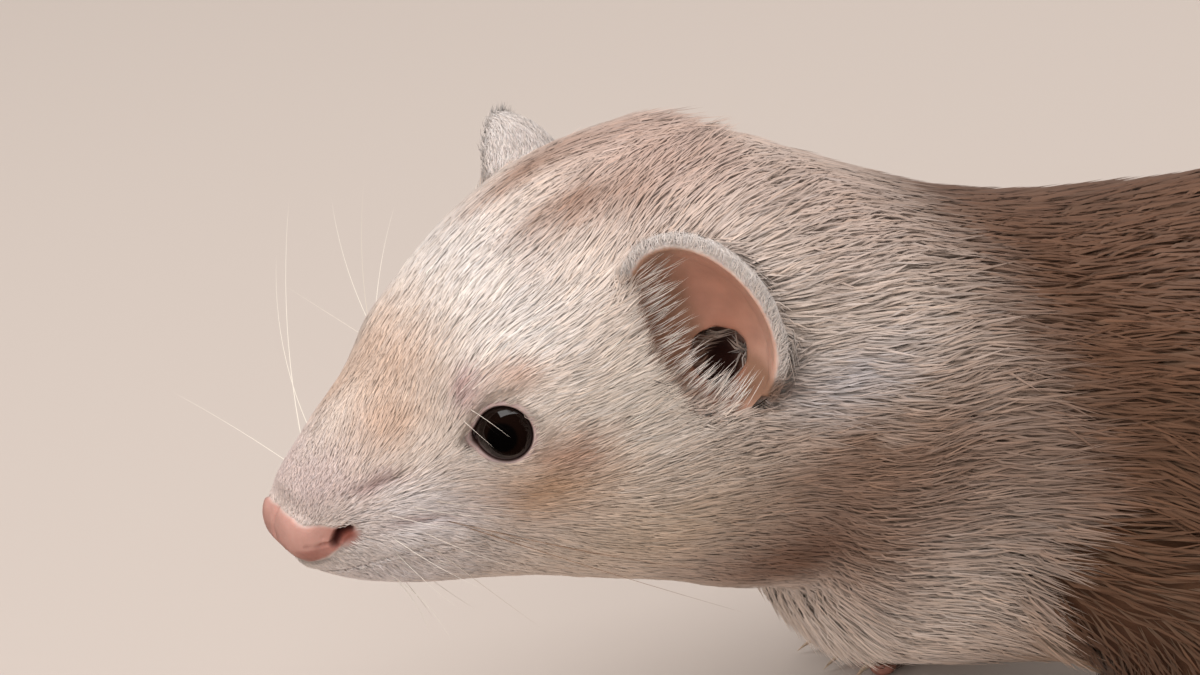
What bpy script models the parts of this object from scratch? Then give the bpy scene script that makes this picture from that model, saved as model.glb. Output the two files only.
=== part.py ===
"""A ferret, life size, standing low with its neck raised and its head turned to its left.

Metres, +X forward, +Y to the animal's left, +Z up. Each solid is the outline of the coat over one named part.
The head is drawn in its own frame: origin between the ear canals, X to the nose, in hundredths of HEAD.
"""

import math
from collections import namedtuple

import bmesh
import bpy
from mathutils import Matrix, Vector

# Driving dimensions
HEAD = 0.0528  # ear canal to nose tip
HEAD_AT = Vector((0.106, 0.014, 0.083))  # point between the ear canals, from the floor under the chest
HEAD_TURN = math.radians(20)  # to the animal's left
HEAD_NOD = math.radians(9)  # nose down
GAP = 0.0003  # between two solids that touch
BODY_SIDES = 32
HEAD_SIDES = 32
TAIL_SIDES = 18
LIMB_SIDES = 12
CLAW_SIDES = 5
SHARP = math.radians(40)  # edges folded by more than this are shaded sharp

UNIT = HEAD / 100
HeadStation = namedtuple("HeadStation", "x top bottom half_width widest square")
BodyStation = namedtuple("BodyStation", "x y z pitch yaw half_width up down square")
Joint = namedtuple("Joint", "x y z radius")

# Cross-sections of the head, muzzle to nape, in hundredths of HEAD
HEAD_STATIONS = [
    HeadStation(97.4, -12.5, -25, 4.6, -18.5, 2.1),
    HeadStation(96.2, -9.2, -28, 7.4, -18.8, 2.2),
    HeadStation(94, -6.6, -30.2, 9.6, -19.4, 2.2),
    HeadStation(91, -4.0, -32.5, 11.6, -20.5, 2.2),
    HeadStation(87, -1.2, -35, 13.8, -21.5, 2.2),
    HeadStation(81.5, 2.5, -38, 16.4, -22, 2.3),
    HeadStation(74, 7, -42, 20.2, -21.5, 2.3),
    HeadStation(64.5, 14, -46, 24.2, -18.5, 2.25),
    HeadStation(55, 21.5, -50, 28.0, -14, 2.2),
    HeadStation(45.5, 28, -54, 32.6, -12, 2.15),
    HeadStation(34, 33.5, -59.5, 38.0, -14, 2.15),
    HeadStation(22.5, 37, -65.5, 42.4, -15, 2.15),
    HeadStation(11, 38.6, -71.5, 44.8, -15.5, 2.2),
    HeadStation(0, 39.0, -79.5, 46.2, -16, 2.2),
    HeadStation(-11, 38.8, -86, 47.6, -17.5, 2.15),
    HeadStation(-22, 37.6, -91.5, 49.2, -20, 2.1),
]
HEAD_RINGS = 29
MUZZLE_RINGS = 6  # rings that round the muzzle's end
MUZZLE_CAP = 1.0  # length of the cap on it
MOUTH_LINE = [(104, -31.5), (92, -30.5), (88, -28.8), (84, -27.0), (78, -26.0), (71, -26.0), (62, -27.4)]
MOUTH_HALF_GROOVE = 0.55
MOUTH_SPREAD = 45
MOUTH_DEPTH = 0.0012

# Swellings and hollows of the head: centre, reach and height, in hundredths of HEAD, on both sides
BUMPS = [
    ((80, 15, -19), 12, 2.0),  # whisker pad
    ((60, 18, 12), 10, 1.8),  # brow
    ((66, 17, 1), 8, -1.8),  # hollow before the eye
    ((47, 33, -20), 15, 1.6),  # cheek
    ((20, 42, -22), 20, 1.6),  # jaw muscle
    ((78, 0, -40), 9, -1.0),  # under the chin
]

NOSE_STATIONS = [
    HeadStation(86.5, -14, -23.5, 6.2, -19, 2.2),
    HeadStation(89.5, -12.6, -25, 8.6, -19, 2.2),
    HeadStation(92.5, -11.6, -26, 10.0, -19, 2.3),
    HeadStation(95.5, -11.4, -25.8, 10.2, -19, 2.4),
    HeadStation(98, -12.4, -24.2, 8.8, -18.8, 2.4),
    HeadStation(99.6, -14.2, -22.2, 5.8, -18.6, 2.2),
    HeadStation(100.3, -16.2, -20.4, 2.6, -18.4, 2.0),
]
NOSE_SIDES = 22
NOSE_RINGS = 10
NOSTRIL = ((90.5, 9.8, -20.2), (2.8, 2.0, 2.2), -12)  # centre, radii and turn in degrees
NOSTRIL_SLIT = ((87.5, 11.6, -18.4), (3.4, 2.2, 0.9), -20)  # the slit that runs back from it
PHILTRUM = ((100.9, 0, -22.5), (2.2, 0.6, 7.0), 0)  # the groove down the middle

EYE_RADIUS = 0.0040
EYE_AT = Vector((48.4, 24.0, -2.4))  # centre of the eyeball, hundredths of HEAD
EYE_FACES = Vector((0.62, 0.75, 0.24)).normalized()
LID_THICK = 0.0005
LID_SEAT = 0.0023  # depth from the eye's centre at which the lids part
EYE_OPENING = 0.0033  # half the width between the corners of the lids
EYE_OPENING_HEIGHT = 0.0029  # half the height
EYE_CORNER = Vector((0.82, -0.56, -0.12))  # from the eye to its front corner
TEAR_DUCT = 0.35  # how far the front corner is drawn out, against the opening
TEAR_DUCT_SPREAD = 0.36  # how wide that is, in radians
EYE_OPENING_SIDES = 24

# An ear is half a bowl: centre, radii up, along and into the head, hundredths of HEAD
EAR_AT = Vector((5.4, 42.0, 10.6))
EAR_RADII = (23.6, 15.0, 13.5)
EAR_UP = Vector((0.27, -0.115, 0.96)).normalized()
EAR_FACES = Vector((0.672, 0.734, -0.098)).normalized()
EAR_THICK = 0.0013
EAR_FLARE = 2.0  # how far behind the bowl's centre its rim lies
BEFORE_EAR = 0.06  # a block that clears all in front of the rim
EAR_CANAL = ((-2.5, 34.0, -2.0), (6.5, 6.0, 6.0), 0)  # centre, radii and turn

# The torso and tail, shoulders to tail tip
BODY_STATIONS = [
    BodyStation(0.0720, 0.0050, 0.0640, 12, 13, 0.0272, 0.0252, 0.0405, 2.05),
    BodyStation(0.0530, 0.0015, 0.0556, 14, 6, 0.0288, 0.0275, 0.0380, 2.05),
    BodyStation(0.0310, 0.0000, 0.0515, 6, 0, 0.0300, 0.0300, 0.0335, 2.05),
    BodyStation(0.003, 0.0000, 0.0520, -4, 0, 0.0310, 0.0305, 0.0305, 2.1),
    BodyStation(-0.028, 0.0000, 0.0560, -7, 0, 0.0300, 0.0305, 0.0295, 2.1),
    BodyStation(-0.058, 0.0000, 0.0590, 0, 0, 0.0295, 0.0305, 0.0290, 2.05),
    BodyStation(-0.088, 0.0000, 0.0545, 14, 0, 0.0290, 0.0295, 0.0285, 2.0),
    BodyStation(-0.112, 0.0000, 0.0450, 30, 0, 0.0235, 0.0235, 0.0235, 2.0),
    BodyStation(-0.131, 0.0010, 0.0340, 34, -6, 0.0140, 0.0140, 0.0140, 2.0),
    BodyStation(-0.149, 0.0035, 0.0235, 26, -12, 0.0118, 0.0118, 0.0118, 2.0),
    BodyStation(-0.175, 0.0105, 0.0138, 10, -18, 0.0118, 0.0120, 0.0122, 2.0),
    BodyStation(-0.203, 0.0200, 0.0104, 0, -16, 0.0112, 0.0114, 0.0118, 2.0),
    BodyStation(-0.231, 0.0260, 0.0091, 0, -8, 0.0095, 0.0098, 0.0102, 2.0),
    BodyStation(-0.254, 0.0280, 0.0069, 2, -2, 0.0064, 0.0066, 0.0078, 2.0),
    BodyStation(-0.270, 0.0282, 0.0046, 4, 0, 0.0020, 0.0020, 0.0026, 2.0),
]
NAPE = -1  # on the spine, where 0 and up are the stations above
TORSO_BEGINS = 1.15
TAIL_BEGINS = 8.0
TAIL_PARTS = 10.6
TAIL_ENDS = 14.0

# Joints of the left limbs
FORELEG = [
    Joint(0.052, 0.0145, 0.0510, 0.0165),
    Joint(0.043, 0.0210, 0.0415, 0.0148),
    Joint(0.031, 0.0262, 0.0310, 0.0116),
    Joint(0.037, 0.0268, 0.0205, 0.0092),
    Joint(0.045, 0.0266, 0.0115, 0.0072),
    Joint(0.051, 0.0265, 0.0066, 0.0062),
]
HINDLEG = [
    Joint(-0.088, 0.0125, 0.0510, 0.0200),
    Joint(-0.080, 0.0195, 0.0430, 0.0178),
    Joint(-0.069, 0.0268, 0.0320, 0.0132),
    Joint(-0.083, 0.0285, 0.0220, 0.0094),
    Joint(-0.099, 0.0286, 0.0130, 0.0064),
]
HEEL = [
    Joint(-0.1025, 0.0286, 0.0085, 0.0054),
    Joint(-0.093, 0.0290, 0.0053, 0.0055),
    Joint(-0.081, 0.0294, 0.0048, 0.0060),
]
Paw = namedtuple("Paw", "x y length half_width palm toe toe_radius")
FOREPAW = Paw(0.054, 0.0265, 0.0078, 0.0072, 0.0046, 0.0104, 0.0027)
HINDPAW = Paw(-0.078, 0.0295, 0.0088, 0.0070, 0.0046, 0.0106, 0.0027)
TOES = 5
TOE_FAN = math.radians(13)  # between neighbouring toes
TOE_ROOT = 0.45  # of the palm's length, ahead of its middle
TOE_SPACING = 0.4  # of the palm's half width, between neighbouring toes
TOE_HALF_LENGTH = 0.62  # of the toe's reach
CLAW_LENGTH = 0.0058
CLAW_RADIUS = 0.0009
CLAW_ARCH = 0.0007
CLAW_DROP = 0.0019
CLAW_TAPER = 0.75
CLAW_STEPS = 3
ROUND_END = [(0.55, 0.83), (0.9, 0.44)]  # further rings at a limb's end: how far out and how wide, in radii

COAT = (0.72, 0.58, 0.43)
PALE_COAT = (0.86, 0.79, 0.70)
PINK = (0.80, 0.50, 0.42)
EYE_BLACK = (0.012, 0.010, 0.010)


def clear_scene():
    """Leaves an empty scene."""
    for obj in list(bpy.data.objects):
        bpy.data.objects.remove(obj)


def finish(name, color, roughness):
    """A plain Principled material."""
    material = bpy.data.materials.new(name)
    material.use_nodes = True
    shader = material.node_tree.nodes["Principled BSDF"]
    shader.inputs["Base Color"].default_value = (*color, 1)
    shader.inputs["Roughness"].default_value = roughness
    shader.inputs["Metallic"].default_value = 0
    return material


def smooth_between(keys, rows, at):
    """Each column of rows at the place at, on a smooth curve through all of them."""
    last = len(keys) - 1
    forward = keys[-1] > keys[0]
    i = 0
    while i < last - 1 and (at > keys[i + 1]) == forward:
        i += 1
    span = keys[i + 1] - keys[i]
    t = (at - keys[i]) / span

    def slope(k, column):
        a, b = max(k - 1, 0), min(k + 1, last)
        return (rows[b][column] - rows[a][column]) / (keys[b] - keys[a])

    values = []
    for column in range(len(rows[0])):
        p, q = rows[i][column], rows[i + 1][column]
        m, n = slope(i, column) * span, slope(i + 1, column) * span
        values.append(
            (2 * t**3 - 3 * t**2 + 1) * p
            + (t**3 - 2 * t**2 + t) * m
            + (3 * t**2 - 2 * t**3) * q
            + (t**3 - t**2) * n
        )
    return values


def oval(half_width, up, down, square, count):
    """Points (y, z) round a soft-cornered oval whose widest line is at z = 0."""
    points = []
    for k in range(count):
        angle = 2 * math.pi * k / count
        c, s = math.cos(angle), math.sin(angle)
        y = math.copysign(abs(c) ** (2 / square), c) * half_width
        z = math.copysign(abs(s) ** (2 / square), s) * (up if s > 0 else down)
        points.append((y, z))
    return points


def new_object(name, bm, material):
    """An object from a bmesh, shaded smooth."""
    mesh = bpy.data.meshes.new(name)
    bmesh.ops.recalc_face_normals(bm, faces=bm.faces)
    bm.to_mesh(mesh)
    bm.free()
    mesh.materials.append(material)
    mesh.shade_smooth()
    mesh.set_sharp_from_angle(angle=SHARP)
    obj = bpy.data.objects.new(name, mesh)
    bpy.context.scene.collection.objects.link(obj)
    return obj


def loft(name, rings, material):
    """A tube through rings of points, with its two ends filled."""
    bm = bmesh.new()
    count = len(rings[0])
    first = bmesh.ops.create_circle(bm, segments=count, radius=1)["verts"]
    for vert, point in zip(first, rings[0]):
        vert.co = point
    ring = list(first)
    for points in rings[1:]:
        edges = [bm.edges.get((ring[k], ring[k - 1])) for k in range(count)]
        grown = bmesh.ops.extrude_edge_only(bm, edges=edges)["geom"]
        new = {v for v in grown if isinstance(v, bmesh.types.BMVert)}
        ring = [next(e.other_vert(v) for e in v.link_edges if e.other_vert(v) in new) for v in ring]
        for vert, point in zip(ring, points):
            vert.co = point
    for end in (first, ring):
        edges = [bm.edges.get((end[k], end[k - 1])) for k in range(count)]
        bmesh.ops.edgeloop_fill(bm, edges=edges)
    return new_object(name, bm, material)


def evaluated(obj, name, material):
    """A plain mesh object from obj with its modifiers applied, keeping only its largest closed surface."""
    bpy.context.view_layer.update()
    graph = bpy.context.evaluated_depsgraph_get()
    bm = bmesh.new()
    bm.from_mesh(obj.evaluated_get(graph).to_mesh())
    bmesh.ops.triangulate(bm, faces=bm.faces)
    bmesh.ops.remove_doubles(bm, verts=bm.verts, dist=1e-6)
    left = set(bm.verts)
    shells = []
    while left:
        shell, edge = set(), [left.pop()]
        while edge:
            vert = edge.pop()
            shell.add(vert)
            for link in vert.link_edges:
                other = link.other_vert(vert)
                if other in left:
                    left.discard(other)
                    edge.append(other)
        shells.append(shell)
    shells.sort(key=len)
    bmesh.ops.delete(bm, geom=[v for shell in shells[:-1] for v in shell], context="VERTS")
    made = new_object(name, bm, material)
    bpy.data.objects.remove(obj)
    return made


def combine(name, base, others, operation, material):
    """base joined with, or cut by, the other objects, which are then removed."""
    group = bpy.data.collections.new(name + "_others")
    bpy.context.scene.collection.children.link(group)
    for other in others:
        bpy.context.scene.collection.objects.unlink(other)
        group.objects.link(other)
    change = base.modifiers.new(operation.title(), "BOOLEAN")
    change.operation = operation
    change.operand_type = "COLLECTION"
    change.collection = group
    change.solver = "EXACT"
    made = evaluated(base, name, material)
    for other in others:
        bpy.data.objects.remove(other)
    bpy.data.collections.remove(group)
    return made


def head_frame():
    """The head's place: turned to the left and nodding, standing on HEAD_AT."""
    return (
        Matrix.Translation(HEAD_AT)
        @ Matrix.Rotation(HEAD_TURN, 4, "Z")
        @ Matrix.Rotation(HEAD_NOD, 4, "Y")
    )


def swell(point, outward):
    """Moves a point of the head along outward by the bumps near it."""
    lift = 0
    for centre, reach, height in BUMPS:
        away = Vector((point.x - centre[0], abs(point.y) - centre[1], point.z - centre[2]))
        lift += height * math.exp(-((away.length / reach) ** 2) * 1.5)
    return point + outward * lift


def section(stations, x, count, grow=0.0):
    """One cross-section of a head loft, in hundredths of HEAD; grow moves it outwards, in metres."""
    top, bottom, half_width, widest, square = smooth_between(
        [s.x for s in stations], [s[1:] for s in stations], x
    )
    wider = grow / UNIT
    outline = oval(half_width + wider, top - widest + wider, widest - bottom + wider, square, count)
    return [Vector((x, y, z + widest)) for y, z in outline]


def swollen(ring):
    """A cross-section of the head with its bumps, in metres."""
    middle = (ring[0] + ring[len(ring) // 2]) / 2
    return [swell(p, (p - middle).normalized()) * UNIT for p in ring]


def spread(start, end, count, bias=1.0):
    """count places from start to end, closer together at the start when bias is over 1."""
    return [start + (end - start) * (k / (count - 1)) ** bias for k in range(count)]


def head_rings(grow=0.0):
    """The head's cross-sections from the muzzle's end to the nape; grow moves its skin outwards."""
    last = HEAD_STATIONS[-1].x + GAP / 2 / UNIT
    places = spread(HEAD_STATIONS[0].x, last, HEAD_RINGS, 1.25)
    rings = [swollen(section(HEAD_STATIONS, x, HEAD_SIDES, grow)) for x in places]
    for k in range(MUZZLE_RINGS):
        forward = Vector((grow * (1 - k / MUZZLE_RINGS), 0, 0))
        rings[k] = [p + forward for p in rings[k]]
    centre = sum(rings[0], Vector()) / HEAD_SIDES
    step = Vector((MUZZLE_CAP * UNIT, 0, 0))
    cap = [
        [centre + step * out + (p - centre) * size for p in rings[0]]
        for out, size in ((1, 0.35), (0.7, 0.72))
    ]
    return cap + rings


def spine_ring(at, grow=0.0, count=BODY_SIDES):
    """A cross-section of the body: NAPE is the head's last ring, 0 and up are BODY_STATIONS."""
    nape_frame = head_frame()
    nape = HEAD_STATIONS[-1]
    centre = nape_frame @ (Vector((nape.x, 0, nape.widest)) * UNIT)
    first = BodyStation(
        *centre,
        -math.degrees(HEAD_NOD),
        math.degrees(HEAD_TURN),
        nape.half_width * UNIT,
        (nape.top - nape.widest) * UNIT,
        (nape.widest - nape.bottom) * UNIT,
        nape.square,
    )
    stations = [first] + BODY_STATIONS
    keys = list(range(NAPE, len(BODY_STATIONS)))
    x, y, z, pitch, yaw, half_width, up, down, square = smooth_between(keys, stations, at)
    frame = (
        Matrix.Translation((x, y, z))
        @ Matrix.Rotation(math.radians(yaw), 4, "Z")
        @ Matrix.Rotation(-math.radians(pitch), 4, "Y")
    )
    outline = oval(half_width + grow, up + grow, down + grow, square, count)
    return [frame @ Vector((0, py, pz)) for py, pz in outline]


def shifted(ring, towards, by):
    """A ring moved by a distance towards the middle of another."""
    middle = sum(towards, Vector()) / len(towards)
    centre = sum(ring, Vector()) / len(ring)
    step = (middle - centre).normalized() * by
    return [p + step for p in ring]


def spine_part(name, start, end, count, material, sides=BODY_SIDES, grow=0.0):
    """A length of the body between two places on the spine, half a gap short at each end."""
    rings = [spine_ring(at, grow, sides) for at in spread(start, end, count)]
    rings[0] = shifted(rings[0], rings[1], GAP / 2)
    rings[-1] = shifted(rings[-1], rings[-2], GAP / 2)
    return loft(name, rings, material)


def tube_rings(joints, count, sides, side=1):
    """Round cross-sections along a smooth line through joints, its ends rounded; side -1 mirrors them."""
    keys = list(range(len(joints)))
    places = [smooth_between(keys, joints, at) for at in spread(0, keys[-1], count)]
    points = [Vector((x, y * side, z)) for x, y, z, _ in places]
    rings = []
    for k, (point, place) in enumerate(zip(points, places)):
        along = (points[min(k + 1, count - 1)] - points[max(k - 1, 0)]).normalized()
        across = (Vector((0, 1, 0)) - along * along.y).normalized()
        over = along.cross(across)
        end = {0: -1, count - 1: 1}.get(k, 0)
        stages = [(0.0, 1.0)] + (ROUND_END if end else [])
        if end < 0:
            stages.reverse()
        for out, size in stages:
            radius = place[3] * size
            middle = point + along * place[3] * out * end
            ring = [middle + across * y + over * z for y, z in oval(radius, radius, radius, 2, sides)]
            rings.append(ring)
    return rings


def ball(name, centre, radii, turn, material, segments=12, rings=8):
    """An ellipsoid turned about Z."""
    bm = bmesh.new()
    bmesh.ops.create_uvsphere(bm, u_segments=segments, v_segments=rings, radius=1)
    place = Matrix.Translation(centre) @ Matrix.Rotation(turn, 4, "Z") @ Matrix.Diagonal((*radii, 1))
    bmesh.ops.transform(bm, matrix=place, verts=bm.verts)
    return new_object(name, bm, material)


def mark(name, shape, side, material):
    """The ellipsoid that cuts a small hollow in the head, from its centre, radii and turn."""
    centre, radii, turn = shape
    place = Vector((centre[0], centre[1] * side, centre[2])) * UNIT
    size = [r * UNIT for r in radii]
    return ball(name, place, size, math.radians(turn) * side, material, 10, 8)


def block(name, place, size, material):
    """A cube set by a matrix."""
    bm = bmesh.new()
    bmesh.ops.create_cube(bm, size=size)
    bmesh.ops.transform(bm, matrix=place, verts=bm.verts)
    return new_object(name, bm, material)


def below_floor(material):
    """A block that fills the space under the floor, to leave small flats."""
    return block("below_floor", Matrix.Translation((0, 0, -0.5)), 1.0, material)


def toe_and_claw(name, paw, k, side, material):
    """One toe, fanned out from the paw, and the claw that curves out of its tip."""
    place = k - (TOES - 1) / 2
    angle = place * TOE_FAN * side
    length = paw.toe * (1 - abs(place) / TOES)
    ahead = Vector((math.cos(angle), math.sin(angle), 0))
    root_y = (paw.y + place * paw.half_width * TOE_SPACING) * side
    root = Vector((paw.x + paw.length * TOE_ROOT, root_y, 0))
    knuckle = root + ahead * length / 2 + Vector((0, 0, paw.toe_radius * 0.9))
    size = (length * TOE_HALF_LENGTH, paw.toe_radius, paw.toe_radius)
    toe = ball(name + "_toe", knuckle, size, angle, material, 7, 6)
    across = ahead.cross(Vector((0, 0, 1)))
    base = knuckle + ahead * (length / 2 - CLAW_RADIUS)
    rings = []
    for step in range(CLAW_STEPS + 1):
        t = step / CLAW_STEPS
        arch = Vector((0, 0, CLAW_ARCH * math.sin(math.pi * t) - CLAW_DROP * t * t))
        radius = CLAW_RADIUS * (1 - CLAW_TAPER * t)
        outline = oval(radius, radius, radius, 2, CLAW_SIDES)
        middle = base + ahead * CLAW_LENGTH * t + arch
        rings.append([middle + across * y + Vector((0, 0, z)) for y, z in outline])
    return [toe, loft(name + "_claw", rings, material)]


def limb(name, legs, paw, side, material):
    """A leg with its paw, toes and claws, cut clear of the torso and level with the floor."""
    pieces = []
    for k, joints in enumerate(legs):
        rings = tube_rings(joints, 2 * len(joints) + 2, LIMB_SIDES, side)
        pieces.append(loft(f"{name}_tube{k}", rings, material))
    palm = Vector((paw.x, paw.y * side, paw.palm))
    pieces.append(ball(name + "_palm", palm, (paw.length, paw.half_width, paw.palm * 1.1), 0, material))
    for k in range(TOES):
        pieces += toe_and_claw(f"{name}{k}", paw, k, side, material)
    whole = combine(name + "_whole", pieces[0], pieces[1:], "UNION", material)
    torso = spine_part("torso_cutter", 0.0, TAIL_BEGINS + 1, 24, material, grow=GAP)
    return combine(name, whole, [torso, below_floor(material)], "DIFFERENCE", material)


def eye_place(side):
    """Centre of an eyeball and the way it faces, in metres in the head's frame."""
    mirror = Vector((1, side, 1))
    return EYE_AT * mirror * UNIT, (EYE_FACES * mirror).normalized()


def eyeball(name, side, radius, material, segments=16, rings=8):
    """The ball of an eye, with its pole on the axis that it faces."""
    centre, faces = eye_place(side)
    bm = bmesh.new()
    bmesh.ops.create_uvsphere(bm, u_segments=segments, v_segments=rings, radius=radius)
    place = Matrix.Translation(centre) @ faces.to_track_quat("Z", "Y").to_matrix().to_4x4()
    bmesh.ops.transform(bm, matrix=place, verts=bm.verts)
    return new_object(name, bm, material)


def eye_opening(name, side, material):
    """The cutter that parts the lids: an oval drawn out to the tear duct at its front corner."""
    centre, faces = eye_place(side)
    toward_corner = EYE_CORNER * Vector((1, side, 1))
    forward = (toward_corner - faces * faces.dot(toward_corner)).normalized()
    upward = forward.cross(faces) * side
    rings = []
    for depth in (LID_SEAT, LID_SEAT * 5):
        ring = []
        for k in range(EYE_OPENING_SIDES):
            angle = 2 * math.pi * k / EYE_OPENING_SIDES
            corner = math.exp(-((min(angle, 2 * math.pi - angle) / TEAR_DUCT_SPREAD) ** 2))
            ahead = math.cos(angle) * EYE_OPENING * (1 + TEAR_DUCT * corner)
            above = math.sin(angle) * EYE_OPENING_HEIGHT
            ring.append(centre + forward * ahead + upward * above + faces * depth)
        rings.append(ring)
    return loft(name, rings, material)


def mouth_cutter(material):
    """A thin sheet that follows the line of the lips, less the core of the muzzle."""
    rings = []
    for x, z in MOUTH_LINE:
        half = MOUTH_HALF_GROOVE * (0.3 if x == MOUTH_LINE[-1][0] else 1)
        corners = ((-1, -1), (1, -1), (1, 1), (-1, 1))
        rings.append([Vector((x, y * MOUTH_SPREAD, z + dz * half)) * UNIT for y, dz in corners])
    sheet = loft("mouth_sheet", rings, material)
    core = loft("mouth_core", head_rings(-MOUTH_DEPTH), material)
    return combine("mouth_cutter", sheet, [core], "DIFFERENCE", material)


def ear_bowl(name, side, grow, material):
    """The ellipsoid of an ear's bowl, its pole on the way that the ear opens."""
    across = EAR_UP.cross(EAR_FACES)
    axes = Matrix((EAR_UP, across, EAR_FACES)).transposed().to_4x4()
    size = Matrix.Diagonal([(r * UNIT) + grow for r in EAR_RADII] + [1])
    mirror = Matrix.Diagonal((1, side, 1, 1))
    bm = bmesh.new()
    bmesh.ops.create_uvsphere(bm, u_segments=22, v_segments=9, radius=1)
    place = mirror @ Matrix.Translation(EAR_AT * UNIT) @ axes @ size
    bmesh.ops.transform(bm, matrix=place, verts=bm.verts)
    return new_object(name, bm, material)


def build_ear(name, side, material):
    """One ear: the back of a bowl, standing on the side of the head."""
    faces = EAR_FACES * Vector((1, side, 1))
    at = EAR_AT * Vector((1, side, 1)) * UNIT
    turn = faces.to_track_quat("Z", "Y").to_matrix().to_4x4()
    place = Matrix.Translation(at + faces * (BEFORE_EAR / 2 - EAR_FLARE * UNIT)) @ turn
    cutters = [
        block("before_ear", place, BEFORE_EAR, material),
        ear_bowl("hollow", side, 0, material),
        loft("head_cutter", head_rings(GAP), material),
    ]
    return combine(name, ear_bowl("bowl", side, EAR_THICK, material), cutters, "DIFFERENCE", material)


def build_head(material):
    """The head's solid, with its lids, ear hollows, nostrils, the line of the mouth and the nose's seat."""
    skull = loft("skull", head_rings(), material)
    lids = [eyeball("lid", side, EYE_RADIUS + GAP + LID_THICK, material, 20, 12) for side in (1, -1)]
    lidded = combine("lidded", skull, lids, "UNION", material)
    cutters = [loft("nose_seat", nose_rings(GAP), material), mouth_cutter(material)]
    for side in (1, -1):
        cutters.append(eyeball("socket", side, EYE_RADIUS + GAP, material, 20, 12))
        cutters.append(eye_opening("opening", side, material))
        cutters.append(ear_bowl("hollow", side, 0, material))
        cutters.append(mark("canal", EAR_CANAL, side, material))
        cutters.append(mark("nostril", NOSTRIL, side, material))
        cutters.append(mark("slit", NOSTRIL_SLIT, side, material))
    return combine("head", lidded, cutters, "DIFFERENCE", material)


def nose_rings(grow=0.0):
    """Cross-sections of the bare nose."""
    places = spread(NOSE_STATIONS[0].x, NOSE_STATIONS[-1].x, NOSE_RINGS, 0.8)
    rings = [[p * UNIT for p in section(NOSE_STATIONS, x, NOSE_SIDES, grow)] for x in places]
    rings[0] = [p - Vector((grow, 0, 0)) for p in rings[0]]
    rings[-1] = [p + Vector((grow, 0, 0)) for p in rings[-1]]
    return rings


def build_nose(material):
    """The bare nose with its nostrils, their slits and the groove between them."""
    pad = loft("pad", nose_rings(), material)
    cutters = [mark("philtrum", PHILTRUM, 1, material)]
    for side in (1, -1):
        cutters.append(mark("nostril", NOSTRIL, side, material))
        cutters.append(mark("slit", NOSTRIL_SLIT, side, material))
    return combine("nose", pad, cutters, "DIFFERENCE", material)


def build():
    """Makes every node, then stands the animal on the floor with its box centred on the origin."""
    clear_scene()
    coat = finish("coat", COAT, 0.85)
    pale = finish("pale_coat", PALE_COAT, 0.85)
    pink = finish("bare_skin", PINK, 0.5)
    black = finish("eye", EYE_BLACK, 0.08)
    in_head = [build_head(pale), build_nose(pink)]
    for side, hand in ((1, "left"), (-1, "right")):
        in_head.append(eyeball("eye_" + hand, side, EYE_RADIUS, black))
        in_head.append(build_ear("ear_" + hand, side, pale))
    for obj in in_head:
        obj.matrix_world = head_frame()
    spine_part("neck", NAPE, TORSO_BEGINS, 9, coat)
    spine_part("torso", TORSO_BEGINS, TAIL_BEGINS, 18, coat)
    for name, start, end in (
        ("tail_root", TAIL_BEGINS, TAIL_PARTS),
        ("tail_tip", TAIL_PARTS, TAIL_ENDS),
    ):
        tail = spine_part(name + "_whole", start, end, 9, coat, sides=TAIL_SIDES)
        combine(name, tail, [below_floor(coat)], "DIFFERENCE", coat)
    for side, hand in ((1, "left"), (-1, "right")):
        limb("foreleg_" + hand, [FORELEG], FOREPAW, side, coat)
        limb("hindleg_" + hand, [HINDLEG, HEEL], HINDPAW, side, coat)
    centre_on_floor()


def centre_on_floor():
    """Hangs every node on one empty, moved so that the origin is under the middle of the animal's box."""
    bpy.context.view_layer.update()
    nodes = [o for o in bpy.data.objects if o.type == "MESH"]
    corners = [o.matrix_world @ v.co for o in nodes for v in o.data.vertices]
    low = [min(c[k] for c in corners) for k in range(3)]
    high = [max(c[k] for c in corners) for k in range(3)]
    ferret = bpy.data.objects.new("ferret", None)
    bpy.context.scene.collection.objects.link(ferret)
    for obj in nodes:
        obj.parent = ferret
    ferret.location = (-(low[0] + high[0]) / 2, -(low[1] + high[1]) / 2, 0)


build()
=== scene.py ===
import math

import bmesh
import bpy
import numpy as np
from bpy.props import FloatProperty, FloatVectorProperty, IntProperty, PointerProperty
from mathutils import Matrix, Vector, noise
from mathutils.bvhtree import BVHTree
from mathutils.kdtree import KDTree


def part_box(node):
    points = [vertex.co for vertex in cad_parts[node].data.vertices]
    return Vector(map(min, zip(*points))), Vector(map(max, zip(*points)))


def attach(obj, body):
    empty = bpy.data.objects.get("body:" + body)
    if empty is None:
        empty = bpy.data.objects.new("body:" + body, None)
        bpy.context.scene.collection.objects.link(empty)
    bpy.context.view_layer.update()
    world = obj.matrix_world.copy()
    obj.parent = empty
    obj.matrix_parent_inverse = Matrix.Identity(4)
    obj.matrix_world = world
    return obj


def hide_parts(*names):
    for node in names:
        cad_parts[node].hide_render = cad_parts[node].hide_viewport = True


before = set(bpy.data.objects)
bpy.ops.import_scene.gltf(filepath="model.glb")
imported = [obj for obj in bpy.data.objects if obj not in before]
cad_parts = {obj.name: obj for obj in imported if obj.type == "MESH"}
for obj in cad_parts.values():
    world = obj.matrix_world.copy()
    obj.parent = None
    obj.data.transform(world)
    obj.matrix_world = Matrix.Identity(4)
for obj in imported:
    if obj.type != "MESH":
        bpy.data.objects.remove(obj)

bl_info = {
    "name": "Museum ferret",
    "version": (1, 0, 0),
    "blender": (4, 5, 0),
    "location": "View3D > Sidebar > Ferret",
    "description": "Skin, coat, eyes, nose, claws and whiskers of a life-size ferret, over its solids",
    "category": "Object",
}

MM = 0.001

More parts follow.
